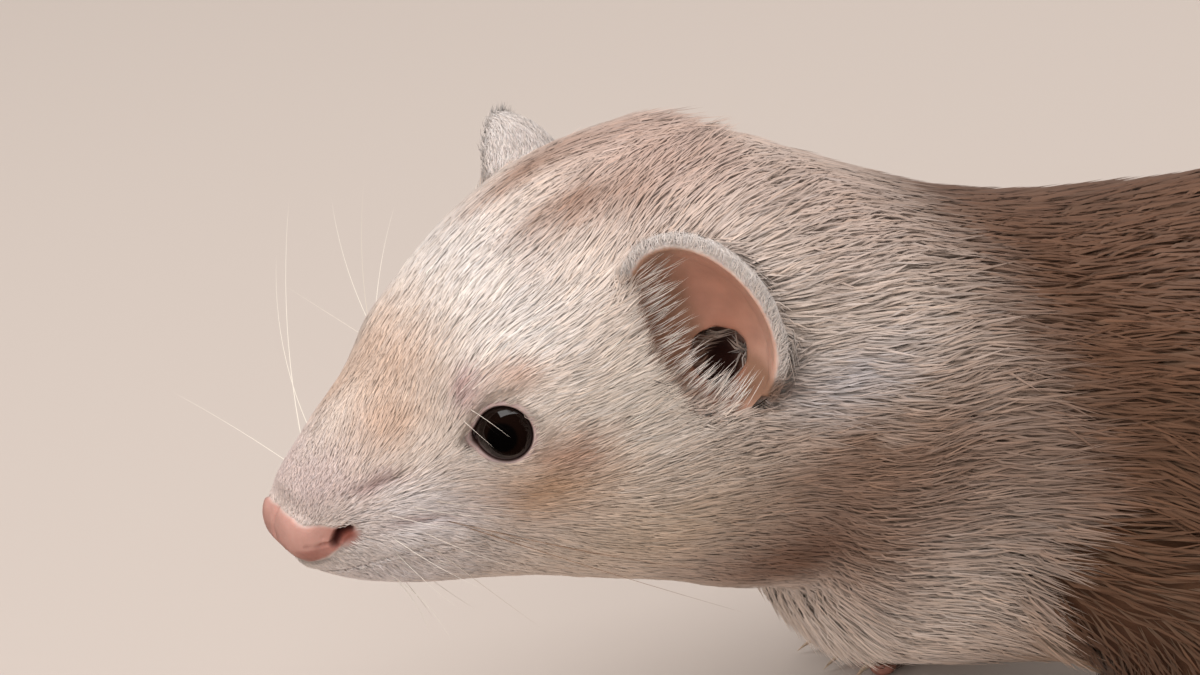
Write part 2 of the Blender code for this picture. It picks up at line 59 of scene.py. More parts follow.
# The head's own frame, as in the part's source: origin between the ear canals, X to the nose.
# Places in it are in hundredths of HEAD.
HEAD = 0.0528
UNIT = HEAD / 100
HEAD_TURN = math.radians(20)
HEAD_NOD = math.radians(9)
EYE_AT = Vector((48.4, 24.0, -2.4))
EYE_FACES = Vector((0.62, 0.75, 0.24)).normalized()
EYE_CORNER = Vector((0.82, -0.56, -0.12))
EAR_AT = Vector((5.4, 42.0, 10.6))
EAR_RADII = (23.6, 15.0, 13.5)
EAR_UP = Vector((0.27, -0.115, 0.96)).normalized()
EAR_FACES = Vector((0.672, 0.734, -0.098)).normalized()
CHEST = Vector((0.106, 0.014, 0.083))  # the head's origin, from the floor under the chest

# The eye's opening on the ball: half width, half height and how far the front corner is drawn out
OPENING = (3.5, 3.5)
TEAR_DUCT = 0.24
TEAR_DUCT_SPREAD = 0.36
# Outline of the lids outwards from the opening: share of the opening, and millimetres over its edge
LID_PROFILE = [
    (0.975, 0.04),
    (1.005, 0.16),
    (1.04, 0.34),
    (1.09, 0.42),
    (1.14, 0.36),
    (1.2, 0.22),
    (1.3, -0.05),
    (1.46, -0.8),
    (1.2, -1.5),
    (1.0, -0.9),
]

# Lines on the left of the face, in the head's frame
NOSTRIL = [(91.0, 11.7, -19.9), (89.8, 12.6, -17.4), (87.6, 13.8, -16.4)]
NOSE_FOLD = [(91.8, 11.4, -19.9), (94.5, 10.1, -19.9), (97.0, 9.4, -19.2)]
PARTINGS = [
    [(85.0, 13.0, -9.0), (80.0, 16.0, -8.0), (75.0, 18.0, -7.0)],
    [(79.0, 19.0, -17.0), (73.0, 21.5, -17.5), (67.0, 23.0, -18.0)],
]
MOUTH = ((62, 71, 78, 84, 88, 92, 104), (-26.2, -25.0, -24.6, -25.6, -27.4, -29.4, -31.0))
PAD_TOP = ((0, 6, 9, 11, 12.5, 16), (-11.8, -12.6, -14.3, -15.2, -15.9, -17.5))
PAD_FOOT = ((0, 4, 8, 10.5, 12.6, 14.5), (-27.5, -26.5, -25.3, -23.9, -21.5, -18.5))
NOSE_WING = (88.4, 13.4, -18.2)
# Middle of the ear's canal and its half width, depth and height as the camera sees them
EAR_CANAL = ((-2.6, 34.6, -4.0), (4.4, 12.0, 8.8))
# The camera's ways to the right, back and up, in the head's frame
SEEN_RIGHT = (-0.838, 0.525, -0.149)
SEEN_BACK = (0.384, 0.761, 0.524)
SEEN_UP = (-0.388, -0.382, 0.839)
EAR_RIDGE = [(-0.7, 30.6, 10.5), (-5.0, 34.0, 3.3), (-7.0, 35.0, -5.4), (-4.7, 41.0, -8.6)]
EAR_EDGE = [
    (14, 28, 27),
    (15, 31, 20),
    (14.5, 31, 12),
    (13, 32, 4),
    (11, 35, -4),
    (6, 38.5, -9),
    (2, 41.5, -11.5),
]

# The middle line of the body and tail, from the floor under the chest
SPINE = [
    (0.0900, 0.0080, 0.0700),
    (0.0530, 0.0015, 0.0556),
    (0.0030, 0.0000, 0.0520),
    (-0.0580, 0.0000, 0.0590),
    (-0.0880, 0.0000, 0.0545),
    (-0.1120, 0.0000, 0.0450),
    (-0.1310, 0.0010, 0.0340),
    (-0.1490, 0.0035, 0.0235),
    (-0.1750, 0.0105, 0.0138),
    (-0.2030, 0.0200, 0.0104),
    (-0.2310, 0.0260, 0.0091),
    (-0.2540, 0.0280, 0.0069),
    (-0.2700, 0.0282, 0.0046),
]

# Paws, as in the part's source: place, palm's length and half width, toe's reach and radius
PAWS = {
    "foreleg": (0.054, 0.0265, 0.0078, 0.0072, 0.0104, 0.0027),
    "hindleg": (-0.078, 0.0295, 0.0088, 0.0070, 0.0106, 0.0027),
}
TOES = 5
TOE_FAN = math.radians(13)
TOE_ROOT = 0.45
TOE_SPACING = 0.4
CLAW_LENGTH = 0.0058
CLAW_RADIUS = 0.0009
CLAW_ARCH = 0.0007
CLAW_DROP = 0.0019
TOE_PAD = (0.0022, 0.0017, 0.0013)  # half length, half width and half height

# How the hair lies on the left of the head and neck: a place and the way it points, in the head's frame
COMB = [
    ((96, 4, -11), (-0.38, 0.19, 0.90)),
    ((90, 10, -9), (-0.43, -0.24, 0.87)),
    ((90, 1, -3), (-0.80, -0.10, 0.51)),
    ((85, 6, -1), (-0.70, -0.30, 0.64)),
    ((80, 6, 2), (-0.77, -0.24, 0.59)),
    ((81, 11, -2), (-0.60, -0.27, 0.75)),
    ((73, 14, 1), (-0.69, -0.13, 0.71)),
    ((67, 20, -4), (-0.76, 0.15, 0.62)),
    ((87, 14, -15), (-0.76, 0.34, 0.55)),
    ((83, 15, -10), (-0.83, 0.25, 0.50)),
    ((78, 17, -9), (-0.91, 0.40, 0.16)),
    ((63, 24, -12), (-0.90, 0.41, -0.18)),
    ((65, 18, 2), (-0.49, 0.01, 0.87)),
    ((70, 2, 10), (-0.85, -0.05, 0.52)),
    ((59, 0, 18), (-0.82, 0.00, 0.57)),
    ((57, 27, -12), (-0.78, 0.42, -0.46)),
    ((49, 32, -13), (-0.88, 0.47, 0.10)),
    ((44, 34, -11), (-0.82, 0.32, 0.47)),
    ((43, 35, -16), (-0.89, 0.41, 0.17)),
    ((44, 34, -19), (-0.91, 0.42, -0.05)),
    ((42, 33, 1), (-0.90, 0.43, -0.04)),
    ((40, 35, -3), (-0.87, 0.32, 0.37)),
    ((51, 26, 8), (-0.85, 0.28, 0.44)),
    ((47, 28, 8), (-0.90, 0.42, 0.12)),
    ((51, 25, 11), (-0.82, 0.18, 0.54)),
    ((63, 18, 7), (-0.47, -0.03, 0.88)),
    ((58, 21, 9), (-0.54, -0.06, 0.84)),
    ((61, 22, 2), (-0.40, -0.01, 0.92)),
    ((61, 25, -6), (-0.56, 0.48, -0.67)),
    ((56, 6, 20), (-0.81, -0.05, 0.59)),
    ((40, 14, 28), (-0.90, 0.05, 0.44)),
    ((31, 24, 26), (-0.89, 0.00, 0.46)),
    ((16, 24, 30), (-0.85, -0.35, 0.40)),
    ((40, 26, 18), (-0.91, 0.29, 0.31)),
    ((27, 35, 14), (-0.92, 0.17, 0.37)),
    ((36, 27, 20), (-0.92, 0.17, 0.37)),
    ((21, 33, 21), (-0.79, -0.14, 0.59)),
    ((30, 5, 34), (-0.94, -0.01, 0.33)),
    ((36, 36, -1), (-0.82, 0.22, 0.53)),
    ((26, 41, -5), (-0.91, 0.31, 0.28)),
    ((17, 44, -5), (-0.98, 0.17, 0.10)),
    ((36, 38, -14), (-0.91, 0.41, 0.10)),
    ((21, 44, -15), (-0.96, 0.27, 0.02)),
    ((42, 35, -23), (-0.89, 0.34, -0.31)),
    ((44, 32, -29), (-0.77, 0.18, -0.62)),
    ((15, 43, -31), (-0.95, 0.12, -0.28)),
    ((-8, 46, -32), (-0.97, 0.11, -0.21)),
    ((-1, 40, -52), (-0.90, 0.04, -0.44)),
    ((-19, 49, -16), (-0.92, 0.15, -0.37)),
    ((13, 15, 36), (-0.93, -0.25, 0.23)),
    ((-7, 8, 38), (-0.95, -0.25, 0.00)),
    ((-24, 23, 30), (-0.90, -0.30, -0.23)),
    ((-25, 36, 19), (-0.93, -0.20, -0.28)),
    ((-44, 35, 9), (-0.92, -0.10, -0.36)),
    ((-32, 43, 6), (-0.92, -0.04, -0.39)),
    ((-22, 46, -2), (-0.89, 0.30, -0.16)),
    ((15, 32, 25), (-0.81, -0.06, 0.58)),
    ((21, 37, 12), (-0.95, 0.16, 0.28)),
    ((84, 17, -17), (-0.60, 0.36, -0.71)),
    ((77, 20, -20), (-0.86, 0.33, -0.38)),
    ((68, 23, -19), (-0.85, 0.36, -0.38)),
    ((66, 24, -23), (-0.89, 0.29, -0.36)),
    ((85, 16, -23), (-0.61, 0.23, -0.76)),
    ((80, 18, -28), (-0.48, -0.12, -0.87)),
    ((71, 21, -27), (-0.68, 0.01, -0.74)),
    ((60, 21, -36), (-0.80, -0.10, -0.60)),
    ((88, 14, -22), (-0.50, 0.24, -0.83)),
    ((43, 27, -40), (-0.87, 0.25, -0.43)),
    ((27, 35, -42), (-0.91, 0.28, -0.32)),
    ((75, 4, -41), (-0.95, 0.00, -0.30)),
    ((50, 5, -50), (-0.97, 0.00, -0.24)),
]
COMB_REACH = 7.5

# Colours of the coat over the head and neck, laid one over the other: colour, place, reach and strength
HEAD_MARKS = [
    ("jaw_buff", (25, 36, -36), (28, 20, 16), 0.75),
    ("throat_sand", (30, 0, -62), (45, 22, 14), 0.8),
    ("crown_taupe", (-6, 10, 38), (30, 28, 16), 0.9),
    ("crown_taupe", (38, 12, 30), (9, 10, 7), 0.5),
    ("nape_taupe", (-42, 20, 20), (30, 34, 24), 0.9),
    ("neck_brown", (-20, 46, -36), (26, 20, 17), 0.85),
    # Painted shade on the lower neck, down to the shoulder.
    ("neck_painted_shade", (-8, 36, -62), (30, 28, 20), 0.95),
    ("neck_painted_shade", (-46, 44, -44), (26, 24, 24), 0.8),
    ("ear_lilac", (-21, 48, -12), (15, 8, 7), 0.9),
    ("cheek_cream", (28, 40, -3), (18, 13, 13), 0.8),
    # Painted shade before the ear's opening.
    ("before_ear_painted_shade", (10.5, 32, 6), (4.5, 7, 15), 0.85),
    ("snow", (45, 20, 18), (15, 13, 9), 0.85),
    ("snow", (46, 5, 28), (15, 12, 8), 0.8),
    ("crown_patch", (21, 12, 35), (8, 6, 6), 0.85),
    ("crown_patch", (31, 9, 34), (6, 4, 5), 0.5),
    ("crown_patch", (10, 17, 36), (7, 6, 5), 0.5),
    ("bridge_apricot", (66, 5, 11), (14, 11, 9), 0.7),
    ("bridge_apricot", (75, 12, 2), (10, 7, 6), 0.75),
    ("tan", (50, 30, -17), (15, 11, 6.5), 0.9),
    ("tan", (62, 25, -16), (8, 7, 4.5), 0.5),
    ("rust", (43, 34, -9), (7, 6, 5), 0.55),
    ("rust", (49, 26, 9.5), (6, 5, 2.6), 0.5),
    ("muzzle_white", (73, 20, -17), (17, 11, 8), 0.9),
    ("muzzle_white", (78, 12, -31), (20, 16, 9), 0.85),
    ("muzzle_pink", (91, 6, -7), (11, 12, 8), 0.9),
    ("whisker_skin", (80, 15, -8), (6, 4, 2.0), 0.6),
    ("whisker_skin", (74, 19, -17.5), (8, 4, 1.2), 0.55),
    ("whisker_skin", (58, 21.5, 8), (3.2, 4, 4), 0.75),
]


def linear(code):
    """A colour written as sRGB hex, turned to linear."""
    parts = [int(code[k : k + 2], 16) / 255 for k in (1, 3, 5)]
    return tuple(c / 12.92 if c <= 0.04045 else ((c + 0.055) / 1.055) ** 2.4 for c in parts)


def colour(name, code, description):
    """A colour property with a hex default."""
    return FloatVectorProperty(
        name=name, description=description, subtype="COLOR", size=3, min=0, max=1, default=linear(code)
    )


def length(name, millimetres, description):
    """A length property with a default in millimetres."""
    return FloatProperty(
        name=name, description=description, unit="LENGTH", subtype="DISTANCE", default=millimetres * MM
    )


class FerretCoatSettings(bpy.types.PropertyGroup):
    """Lengths, numbers and colours of the hair."""

    muzzle_length: length("Muzzle hair", 2.6, "Length of the hair on the sides of the muzzle")
    face_length: length("Face hair", 4.8, "Length of the hair round the eyes and on the cheeks")
    nape_length: length("Nape hair", 7.0, "Length of the hair on the crown and nape")
    body_length: length("Body hair", 15.0, "Length of the guard hair on the body")
    leg_length: length("Leg hair", 6.0, "Length of the hair on the legs")
    tail_length: length("Tail hair", 17.0, "Length of the hair on the tail")
    face_tufts: IntProperty(name="Face tufts", description="Number of tufts before the cheeks", default=72000)
    head_tufts: IntProperty(name="Head tufts", description="Number of tufts behind that", default=64000)
    ear_tufts: IntProperty(name="Ear tufts", description="Number of tufts on the ears", default=8000)
    neck_tufts: IntProperty(name="Neck tufts", description="Number of tufts on the neck", default=32000)
    body_tufts: IntProperty(name="Body tufts", description="Number of tufts on the torso", default=40000)
    fringe_tufts: IntProperty(name="Fringe tufts", description="Tufts across each ear's opening", default=300)
    leg_tufts: IntProperty(name="Leg tufts", description="Number of tufts on the legs", default=16000)
    tail_tufts: IntProperty(name="Tail tufts", description="Number of tufts on the tail", default=7000)
    seed: IntProperty(name="Seed", description="Start of the random order", default=11)
    cream: colour("Cream", "#e6d6cb", "Ground colour of the face")
    snow: colour("Snow", "#f2e9e4", "White over the eyes and on the forehead")
    cheek_cream: colour("Cheek", "#ecdfd3", "Pale cheek before the ear")
    muzzle_white: colour("Muzzle white", "#ebe2e2", "White of the lips and whisker rows")
    muzzle_pink: colour("Muzzle pink", "#e6d0cc", "Pinkish white on top of the nose")
    whisker_skin: colour("Whisker skin", "#ab8486", "Pink skin seen between the whisker rows")
    bridge_apricot: colour("Apricot", "#d2af98", "Warm bridge of the muzzle")
    tan: colour("Tan", "#c49a76", "Band under the eye")
    rust: colour("Rust", "#a8683f", "Corner behind the eye")
    jaw_buff: colour("Jaw buff", "#dcc4ac", "Lower cheek")
    throat_sand: colour("Throat", "#dcc6af", "Throat")
    crown_taupe: colour("Crown", "#b3968a", "Grey-brown crown")
    # Painted shade: the dark brown before and inside the front of the ear's opening stands for the shade
    # there.
    before_ear_painted_shade: colour("Before the ear's opening", "#8c6751", "Brown ground under the long hair of the ear")
    crown_patch: colour("Crown patch", "#96715e", "Darker patches on the crown")
    nape_taupe: colour("Nape", "#c2aba0", "Nape")
    ear_white: colour("Ear", "#efe6e2", "Hair on the back and rim of the ear")
    ear_lilac: colour("Behind the ear", "#e2dbdd", "Pale patch behind the ear")
    neck_brown: colour("Neck", "#ae8d79", "Side of the neck")
    # Painted shade: the lower neck and shoulder are painted darker for the shade under the head and towards
    # the body.
    neck_painted_shade: colour("Neck low", "#87614b", "Lower neck and shoulder")
    # Back and flanks: dark brown, partly the coat's own colour and partly painted shade over the whole body.
    back_brown_and_shade: colour("Back", "#644330", "Back")
    flank_sand_and_shade: colour("Flank", "#6b4a36", "Flanks")
    belly_sand: colour("Belly", "#b99a7c", "Belly")
    leg_brown: colour("Legs", "#5a3c2b", "Legs")
    paw_brown: colour("Paws", "#6b4b3a", "Paws")
    tail_brown: colour("Tail", "#553828", "Tail")
    undercoat: colour("Undercoat", "#b39880", "Woolly undercoat at the hair's roots")


class FerretSkinSettings(bpy.types.PropertyGroup):
    """The skin under the coat and the bare parts."""

    grain: length("Grain", 0.5, "Size of the finest form that the skin keeps")
    triangles: IntProperty(name="Triangles", description="Triangles of the whole skin", default=180000)
    ear_pink: colour("Ear pink", "#e0b4a2", "Inside of the ear")
    # Painted shade: the bowl is painted darker towards its depth and round the canal.
    painted_shade_in_ear: colour("Ear deep", "#bd8570", "Depth of the ear")
    # Painted shade: the front of the ear's inside is painted brown for the shade behind the front edge.
    ear_inside_painted_shade: colour("Ear front", "#a07a64", "Brown ground at the front of the ear's inside")
    # Painted shade: the canal is painted near black for the dark hole.
    canal: colour("Ear canal", "#2e1611", "The ear canal")
    lid_pink: colour("Lid", "#c2a9a6", "Rims of the lids")
    lid_dark: colour("Lid margin", "#4c332f", "Wet margin of the lids")
    # Lip skin, partly its own colour and partly painted shade in the line where the lips meet.
    lip_skin_and_shade: colour("Lip", "#84605d", "Skin in the line of the mouth")
    nose_pink: colour("Nose", "#c99a8f", "Bare nose leather")
    # Painted shade: the nostrils are painted near black inside.
    nostril_painted_shade: colour("Nostril depth", "#3f1613", "Inside of the nostrils")
    # Red skin beside the nostril, also used as painted shade on the pad's lower edge and in the fold beside
    # the nostril.
    nostril_skin_and_shade: colour("Beside the nostril", "#98594d", "Skin beside and under the nostril")
    claw: colour("Claw", "#cbb59f", "Horn of the claws")
    pad: colour("Pad", "#b88072", "Pads of the paws")


class FerretEyeSettings(bpy.types.PropertyGroup):
    """The eyes."""

    radius: length("Eyeball", 4.15, "Radius of an eyeball")
    cornea: length("Cornea", 0.22, "How far the cornea stands out of the ball")
    pupil: colour("Pupil", "#050404", "Pupil")
    iris: colour("Iris", "#140b08", "Iris")


class FerretWhiskerSettings(bpy.types.PropertyGroup):
    """The whiskers."""

    radius: length("Whisker radius", 0.075, "Radius of a whisker at its root")
    pale: colour("Pale whisker", "#efe6da", "Pale whiskers")
    dark: colour("Dark whisker", "#7a5a44", "Dark whiskers")


class FerretStageSettings(bpy.types.PropertyGroup):
    """Floor, lights and camera."""

    floor: colour("Floor", "#cbc0b9", "Plain pale floor")
    key: FloatProperty(name="Key light", description="Power of the key light", unit="POWER", default=6.0)
    fill: FloatProperty(name="Fill light", description="Power of the fill light", unit="POWER", default=5.5)
    rim: FloatProperty(name="Rim light", description="Power of the rim light", unit="POWER", default=1.5)
    sky: FloatProperty(name="Sky", description="Strength of the surrounding light", default=0.42)


def settings(name):
    """One of the scene's groups of settings."""
    return getattr(bpy.context.scene, name)


# Frames and measures


def head_matrix():
    """The head's frame, found from the two eyeballs."""
    turn = Matrix.Rotation(HEAD_TURN, 4, "Z") @ Matrix.Rotation(HEAD_NOD, 4, "Y")
    eyes = [sum(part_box(name), Vector()) / 2 for name in ("eye_left", "eye_right")]
    between = turn @ (Vector((EYE_AT.x, 0, EYE_AT.z)) * UNIT)
    return Matrix.Translation((eyes[0] + eyes[1]) / 2 - between) @ turn


HEAD_FRAME = head_matrix()
UNDER_CHEST = HEAD_FRAME.translation - CHEST
HEAD_AXES = np.array(HEAD_FRAME.to_3x3())
HEAD_ORIGIN = np.array(HEAD_FRAME.translation)


def in_head(points):
    """Points in the head's frame, with the right side folded onto the left, and which side each is on."""
    local = (points - HEAD_ORIGIN) @ HEAD_AXES / UNIT
    side = np.where(local[:, 1] < 0, -1.0, 1.0)
    local[:, 1] = np.abs(local[:, 1])
    return local, side


def head_to_world(ways, side):
    """Directions in the head's frame, unfolded to their side and turned to the world."""
    ways = ways.copy()
    ways[:, 1] *= side
    return ways @ HEAD_AXES.T


def unit(rows):
    """Each row with a length of 1."""
    return rows / np.maximum(np.linalg.norm(rows, axis=1, keepdims=True), 1e-9)


def fade(value, start, end):
    """0 before start, 1 after end and smooth between them; start may be the larger."""
    t = np.clip((value - start) / (end - start), 0, 1)
    return t * t * (3 - 2 * t)


def eye_frame(side):
    """Centre of an eyeball, the way it faces, and the ways to its front corner and up, in the world."""
    mirror = Vector((1, side, 1))
    faces = (EYE_FACES * mirror).normalized()
    corner = EYE_CORNER * mirror
    forward = (corner - faces * faces.dot(corner)).normalized()
    up = forward.cross(faces) * side
    turn = HEAD_FRAME.to_3x3()
    return HEAD_FRAME @ (EYE_AT * mirror * UNIT), turn @ faces, turn @ forward, turn @ up


def drawn_out(angle):
    """How far the eye's opening is drawn out at an angle from its front corner, as a share of its size."""
    return 1 + TEAR_DUCT * np.exp(-((angle / TEAR_DUCT_SPREAD) ** 2))


def eye_reach(points):
    """How far points lie from the middle of the nearer eye's opening, as a share of the opening."""
    best = np.full(len(points), 99.0)
    for side in (1, -1):
        centre, faces, forward, up = (np.array(v) for v in eye_frame(side))
        away = points - centre
        across, above = away @ forward / (OPENING[0] * MM), away @ up / (OPENING[1] * MM)
        reach = np.hypot(across, above) / drawn_out(np.arctan2(above, across))
        near = (away @ faces > 0) & (np.linalg.norm(away, axis=1) < 14 * MM)
        best = np.where(near, np.minimum(best, reach), best)
    return best


def from_chain(head, chain):
    """How far points in the head's frame are from a chain of places."""
    best = np.full(len(head), 99.0)
    for start, end in zip(chain, chain[1:]):
        start, run = np.array(start), np.subtract(end, start)
        along = np.clip(((head - start) @ run) / (run @ run), 0, 1)
        best = np.minimum(best, np.linalg.norm(head - start - along[:, None] * run, axis=1))
    return best


def from_mouth(head):
    """How far points in the head's frame are above or below the line of the mouth; 99 behind its corner."""
    gap = head[:, 2] - np.interp(head[:, 0], *MOUTH)
    return np.where(head[:, 0] > 62, gap, 99.0)


def nose_pad(head):
    """1 on the bare pad of the nose and 0 off it."""
    top = np.interp(head[:, 1], *PAD_TOP)
    foot = np.interp(head[:, 1], *PAD_FOOT)
    under_top = fade(head[:, 2], top + 0.4, top - 0.4)
    over_foot = fade(head[:, 2], foot - 0.7, foot + 0.7)
    return under_top * over_foot * fade(head[:, 0], 86.3, 87.8)


def ear_bowl_place(points):
    """Points in an ear's bowl: up, across and out of it, as shares of its radii."""
    across = EAR_UP.cross(EAR_FACES)
    axes = np.array((EAR_UP, across, EAR_FACES))
    local, _ = in_head(points)
    return (local - np.array(EAR_AT)) @ axes.T / np.array(EAR_RADII)


def from_canal(head):
    """How far points lie from the middle of an ear's canal, as a share of its size."""
    axes = np.array((SEEN_RIGHT, SEEN_BACK, SEEN_UP))
    return np.linalg.norm((head - np.array(EAR_CANAL[0])) @ axes.T / np.array(EAR_CANAL[1]), axis=1)


def behind_ear_edge(head):
    """How far points lie behind the front edge of an ear's opening, as the camera sees it, and how near."""
    edge = np.array(EAR_EDGE, float)
    at = np.linspace(0, len(edge) - 1, 31)
    chain = np.stack([np.interp(at, np.arange(len(edge)), edge[:, k]) for k in range(3)], axis=1)
    behind, apart = np.full(len(head), -99.0), np.full(len(head), 99.0)
    for place in chain:
        near = np.linalg.norm(head - place, axis=1)
        behind = np.where(near < apart, (head - place) @ np.array(SEEN_RIGHT), behind)
        apart = np.minimum(near, apart)
    return behind, apart


def ear_opening_shade_mask(head):
    """1 in the front of an ear's opening, behind its front edge, where the inside is painted in shade, and 0
    elsewhere.
    """
    behind, apart = behind_ear_edge(head)
    level = fade(head[:, 2], -13, -9) * fade(head[:, 2], 28, 23) * fade(head[:, 1], 20, 25)
    return fade(behind, -1.0, 2.0) * (1 - fade(apart, 12, 16)) * level


# Materials


def add_node(tree, kind, links=(), **values):
    """Adds a node with its links and settings; a socket's value has the socket's name, _ for a space."""
    made = tree.nodes.new(kind)
    for key, value in values.items():
        socket = made.inputs.get(key.replace("_", " "))
        if socket is not None and not hasattr(made, key):
            socket.default_value = value
        else:
            setattr(made, key, value)
    for name, source in links:
        tree.links.new(source, made.inputs[name])
    return made


def new_material(name, **values):
    """A material and its shader, with values on the shader's own sockets."""
    material = bpy.data.materials.new(name)
    material.use_nodes = True
    shader = material.node_tree.nodes["Principled BSDF"]
    for key, value in values.items():
        shader.inputs[key.replace("_", " ")].default_value = value
    return material, material.node_tree, shader


def hair_material():
    """Guard hair: a smooth horny cuticle, so a soft broken gloss along each tuft over its own colour."""
    material, tree, shader = new_material(
        "hair_keratin", Roughness=0.52, Specular_IOR_Level=0.35, Sheen_Weight=0.12, Sheen_Roughness=0.5
    )
    paint = add_node(tree, "ShaderNodeAttribute", attribute_name="hair_colour")
    tree.links.new(paint.outputs["Color"], shader.inputs["Base Color"])
    return material


def skin_material():
    """Furred and bare skin: thin, slightly waxy and porous where it is bare, matt where hair covers it."""
    material, tree, shader = new_material(
        "skin_dermis", Specular_IOR_Level=0.35, Subsurface_Weight=0.12, Subsurface_Scale=0.001
    )
    shader.inputs["Subsurface Radius"].default_value = (1.0, 0.4, 0.25)
    tint = add_node(tree, "ShaderNodeAttribute", attribute_name="skin_colour")
    bare = add_node(tree, "ShaderNodeAttribute", attribute_name="bare")
    place = add_node(tree, "ShaderNodeTexCoord")
    gloss = add_node(tree, "ShaderNodeMapRange", [("Value", bare.outputs["Fac"])], To_Min=0.72, To_Max=0.42)
    tree.links.new(gloss.outputs["Result"], shader.inputs["Roughness"])
    # Pores 0.25 mm apart on bare skin
    pores = add_node(
        tree, "ShaderNodeTexNoise", [("Vector", place.outputs["Object"])], Scale=4000.0, Detail=2.0
    )
    # Short hair lying along the body: streaks 0.2 mm wide and 2 mm long
    drawn = add_node(tree, "ShaderNodeMapping", [("Vector", place.outputs["Object"])], Scale=(0.1, 1.0, 1.0))
    streaks = add_node(
        tree, "ShaderNodeTexNoise", [("Vector", drawn.outputs["Vector"])], Scale=5000.0, Detail=1.0
    )
    both = add_node(
        tree,
        "ShaderNodeMix",
        [("Factor", bare.outputs["Fac"]), ("A", streaks.outputs["Fac"]), ("B", pores.outputs["Fac"])],
    )
    bump = add_node(
        tree, "ShaderNodeBump", [("Height", both.outputs["Result"])], Strength=0.3, Distance=0.00012
    )
    tree.links.new(bump.outputs["Normal"], shader.inputs["Normal"])
    # Veins and flushes 3 mm across, faint
    flush = add_node(
        tree, "ShaderNodeTexNoise", [("Vector", place.outputs["Object"])], Scale=330.0, Detail=3.0
    )
    level = add_node(
        tree,
        "ShaderNodeMapRange",
        [("Value", flush.outputs["Fac"])],
        From_Min=0.3,
        From_Max=0.7,
        To_Min=0.9,
        To_Max=1.08,
    )
    tinted = add_node(
        tree,
        "ShaderNodeMix",
        [("A", tint.outputs["Color"]), ("B", level.outputs["Result"])],
        data_type="RGBA",
        blend_type="MULTIPLY",
        Factor=1.0,
    )
    tree.links.new(tinted.outputs["Result"], shader.inputs["Base Color"])
    return material


def plain_material(name, base, **values):
    """A material of one colour with faint mottling, for small pieces."""
    material, tree, shader = new_material(name, **values)
    place = add_node(tree, "ShaderNodeTexCoord")
    mottle = add_node(
        tree, "ShaderNodeTexNoise", [("Vector", place.outputs["Object"])], Scale=900.0, Detail=3.0
    )
    ramp = add_node(tree, "ShaderNodeValToRGB", [("Fac", mottle.outputs["Fac"])])
    ramp.color_ramp.elements[0].position = 0.3
    ramp.color_ramp.elements[1].position = 0.7
    ramp.color_ramp.elements[0].color = (*[c * 0.8 for c in base], 1)
    ramp.color_ramp.elements[1].color = (*[min(c * 1.12, 1) for c in base], 1)
    tree.links.new(ramp.outputs["Color"], shader.inputs["Base Color"])
    return material


# Mesh helpers


def to_object(name, bm, material):
    """An object from a bmesh, shaded smooth."""
    mesh = bpy.data.meshes.new(name)
    bm.to_mesh(mesh)
    bm.free()
    mesh.materials.append(material)
    mesh.shade_smooth()
    obj = bpy.data.objects.new(name, mesh)
    bpy.context.scene.collection.objects.link(obj)
    return obj


def evaluated(obj):
    """The mesh of an object with its modifiers applied; the object is removed."""
    bpy.context.view_layer.update()
    graph = bpy.context.evaluated_depsgraph_get()
    mesh = bpy.data.meshes.new_from_object(obj.evaluated_get(graph))
    bpy.data.objects.remove(obj)
    return mesh


def node_copy(name, grow=0.0):
    """A merged copy of a CAD node, its surface moved outwards by grow."""
    bm = bmesh.new()
    bm.from_mesh(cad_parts[name].data)
    bmesh.ops.remove_doubles(bm, verts=bm.verts, dist=1e-6)
    bm.normal_update()
    moved = [v.co + v.normal * grow for v in bm.verts]
    for vert, place in zip(bm.verts, moved):
        vert.co = place
    return bm


def points_of(mesh):
    """The places of a mesh's vertices."""
    flat = np.zeros(len(mesh.vertices) * 3, np.float32)
    mesh.vertices.foreach_get("co", flat)
    return flat.reshape(-1, 3).astype(float)


def normals_of(mesh):
    """The normals of a mesh's vertices."""
    flat = np.zeros(len(mesh.vertices) * 3, np.float32)
    mesh.vertex_normals.foreach_get("vector", flat)
    return flat.reshape(-1, 3).astype(float)


def edges_of(mesh):
    """The pairs of vertices that a mesh's edges join."""
    flat = np.zeros(len(mesh.edges) * 2, np.int32)
    mesh.edges.foreach_get("vertices", flat)
    return flat.reshape(-1, 2)


def spread_out(values, edges, times):
    """Values on vertices averaged with their neighbours' a number of times."""
    count = len(values)
    many = np.bincount(edges.ravel(), minlength=count).astype(float)
    for _ in range(times):
        total = np.bincount(edges[:, 0], values[edges[:, 1]], count)
        total += np.bincount(edges[:, 1], values[edges[:, 0]], count)
        values = 0.5 * values + 0.5 * total / np.maximum(many, 1)
    return values


def smooth_points(points, edges, times, strength):
    """Points drawn towards the middle of their neighbours, each by its own strength."""
    count = len(points)
    many = np.maximum(np.bincount(edges.ravel(), minlength=count), 1).astype(float)
    for _ in range(times):
        for axis in range(3):
            column = points[:, axis]
            total = np.bincount(edges[:, 0], column[edges[:, 1]], count)
            total += np.bincount(edges[:, 1], column[edges[:, 0]], count)
            points[:, axis] = column + (total / many - column) * strength
    return points


def paint(mesh, name, colours):
    """A colour on each vertex."""
    layer = mesh.attributes.new(name, "FLOAT_COLOR", "POINT")
    rows = np.ones((len(colours), 4), np.float32)
    rows[:, :3] = colours
    layer.data.foreach_set("color", rows.ravel())


def note(mesh, name, values):
    """A number on each vertex."""
    layer = mesh.attributes.new(name, "FLOAT", "POINT")
    layer.data.foreach_set("value", values.astype(np.float32))


# Parts of the body

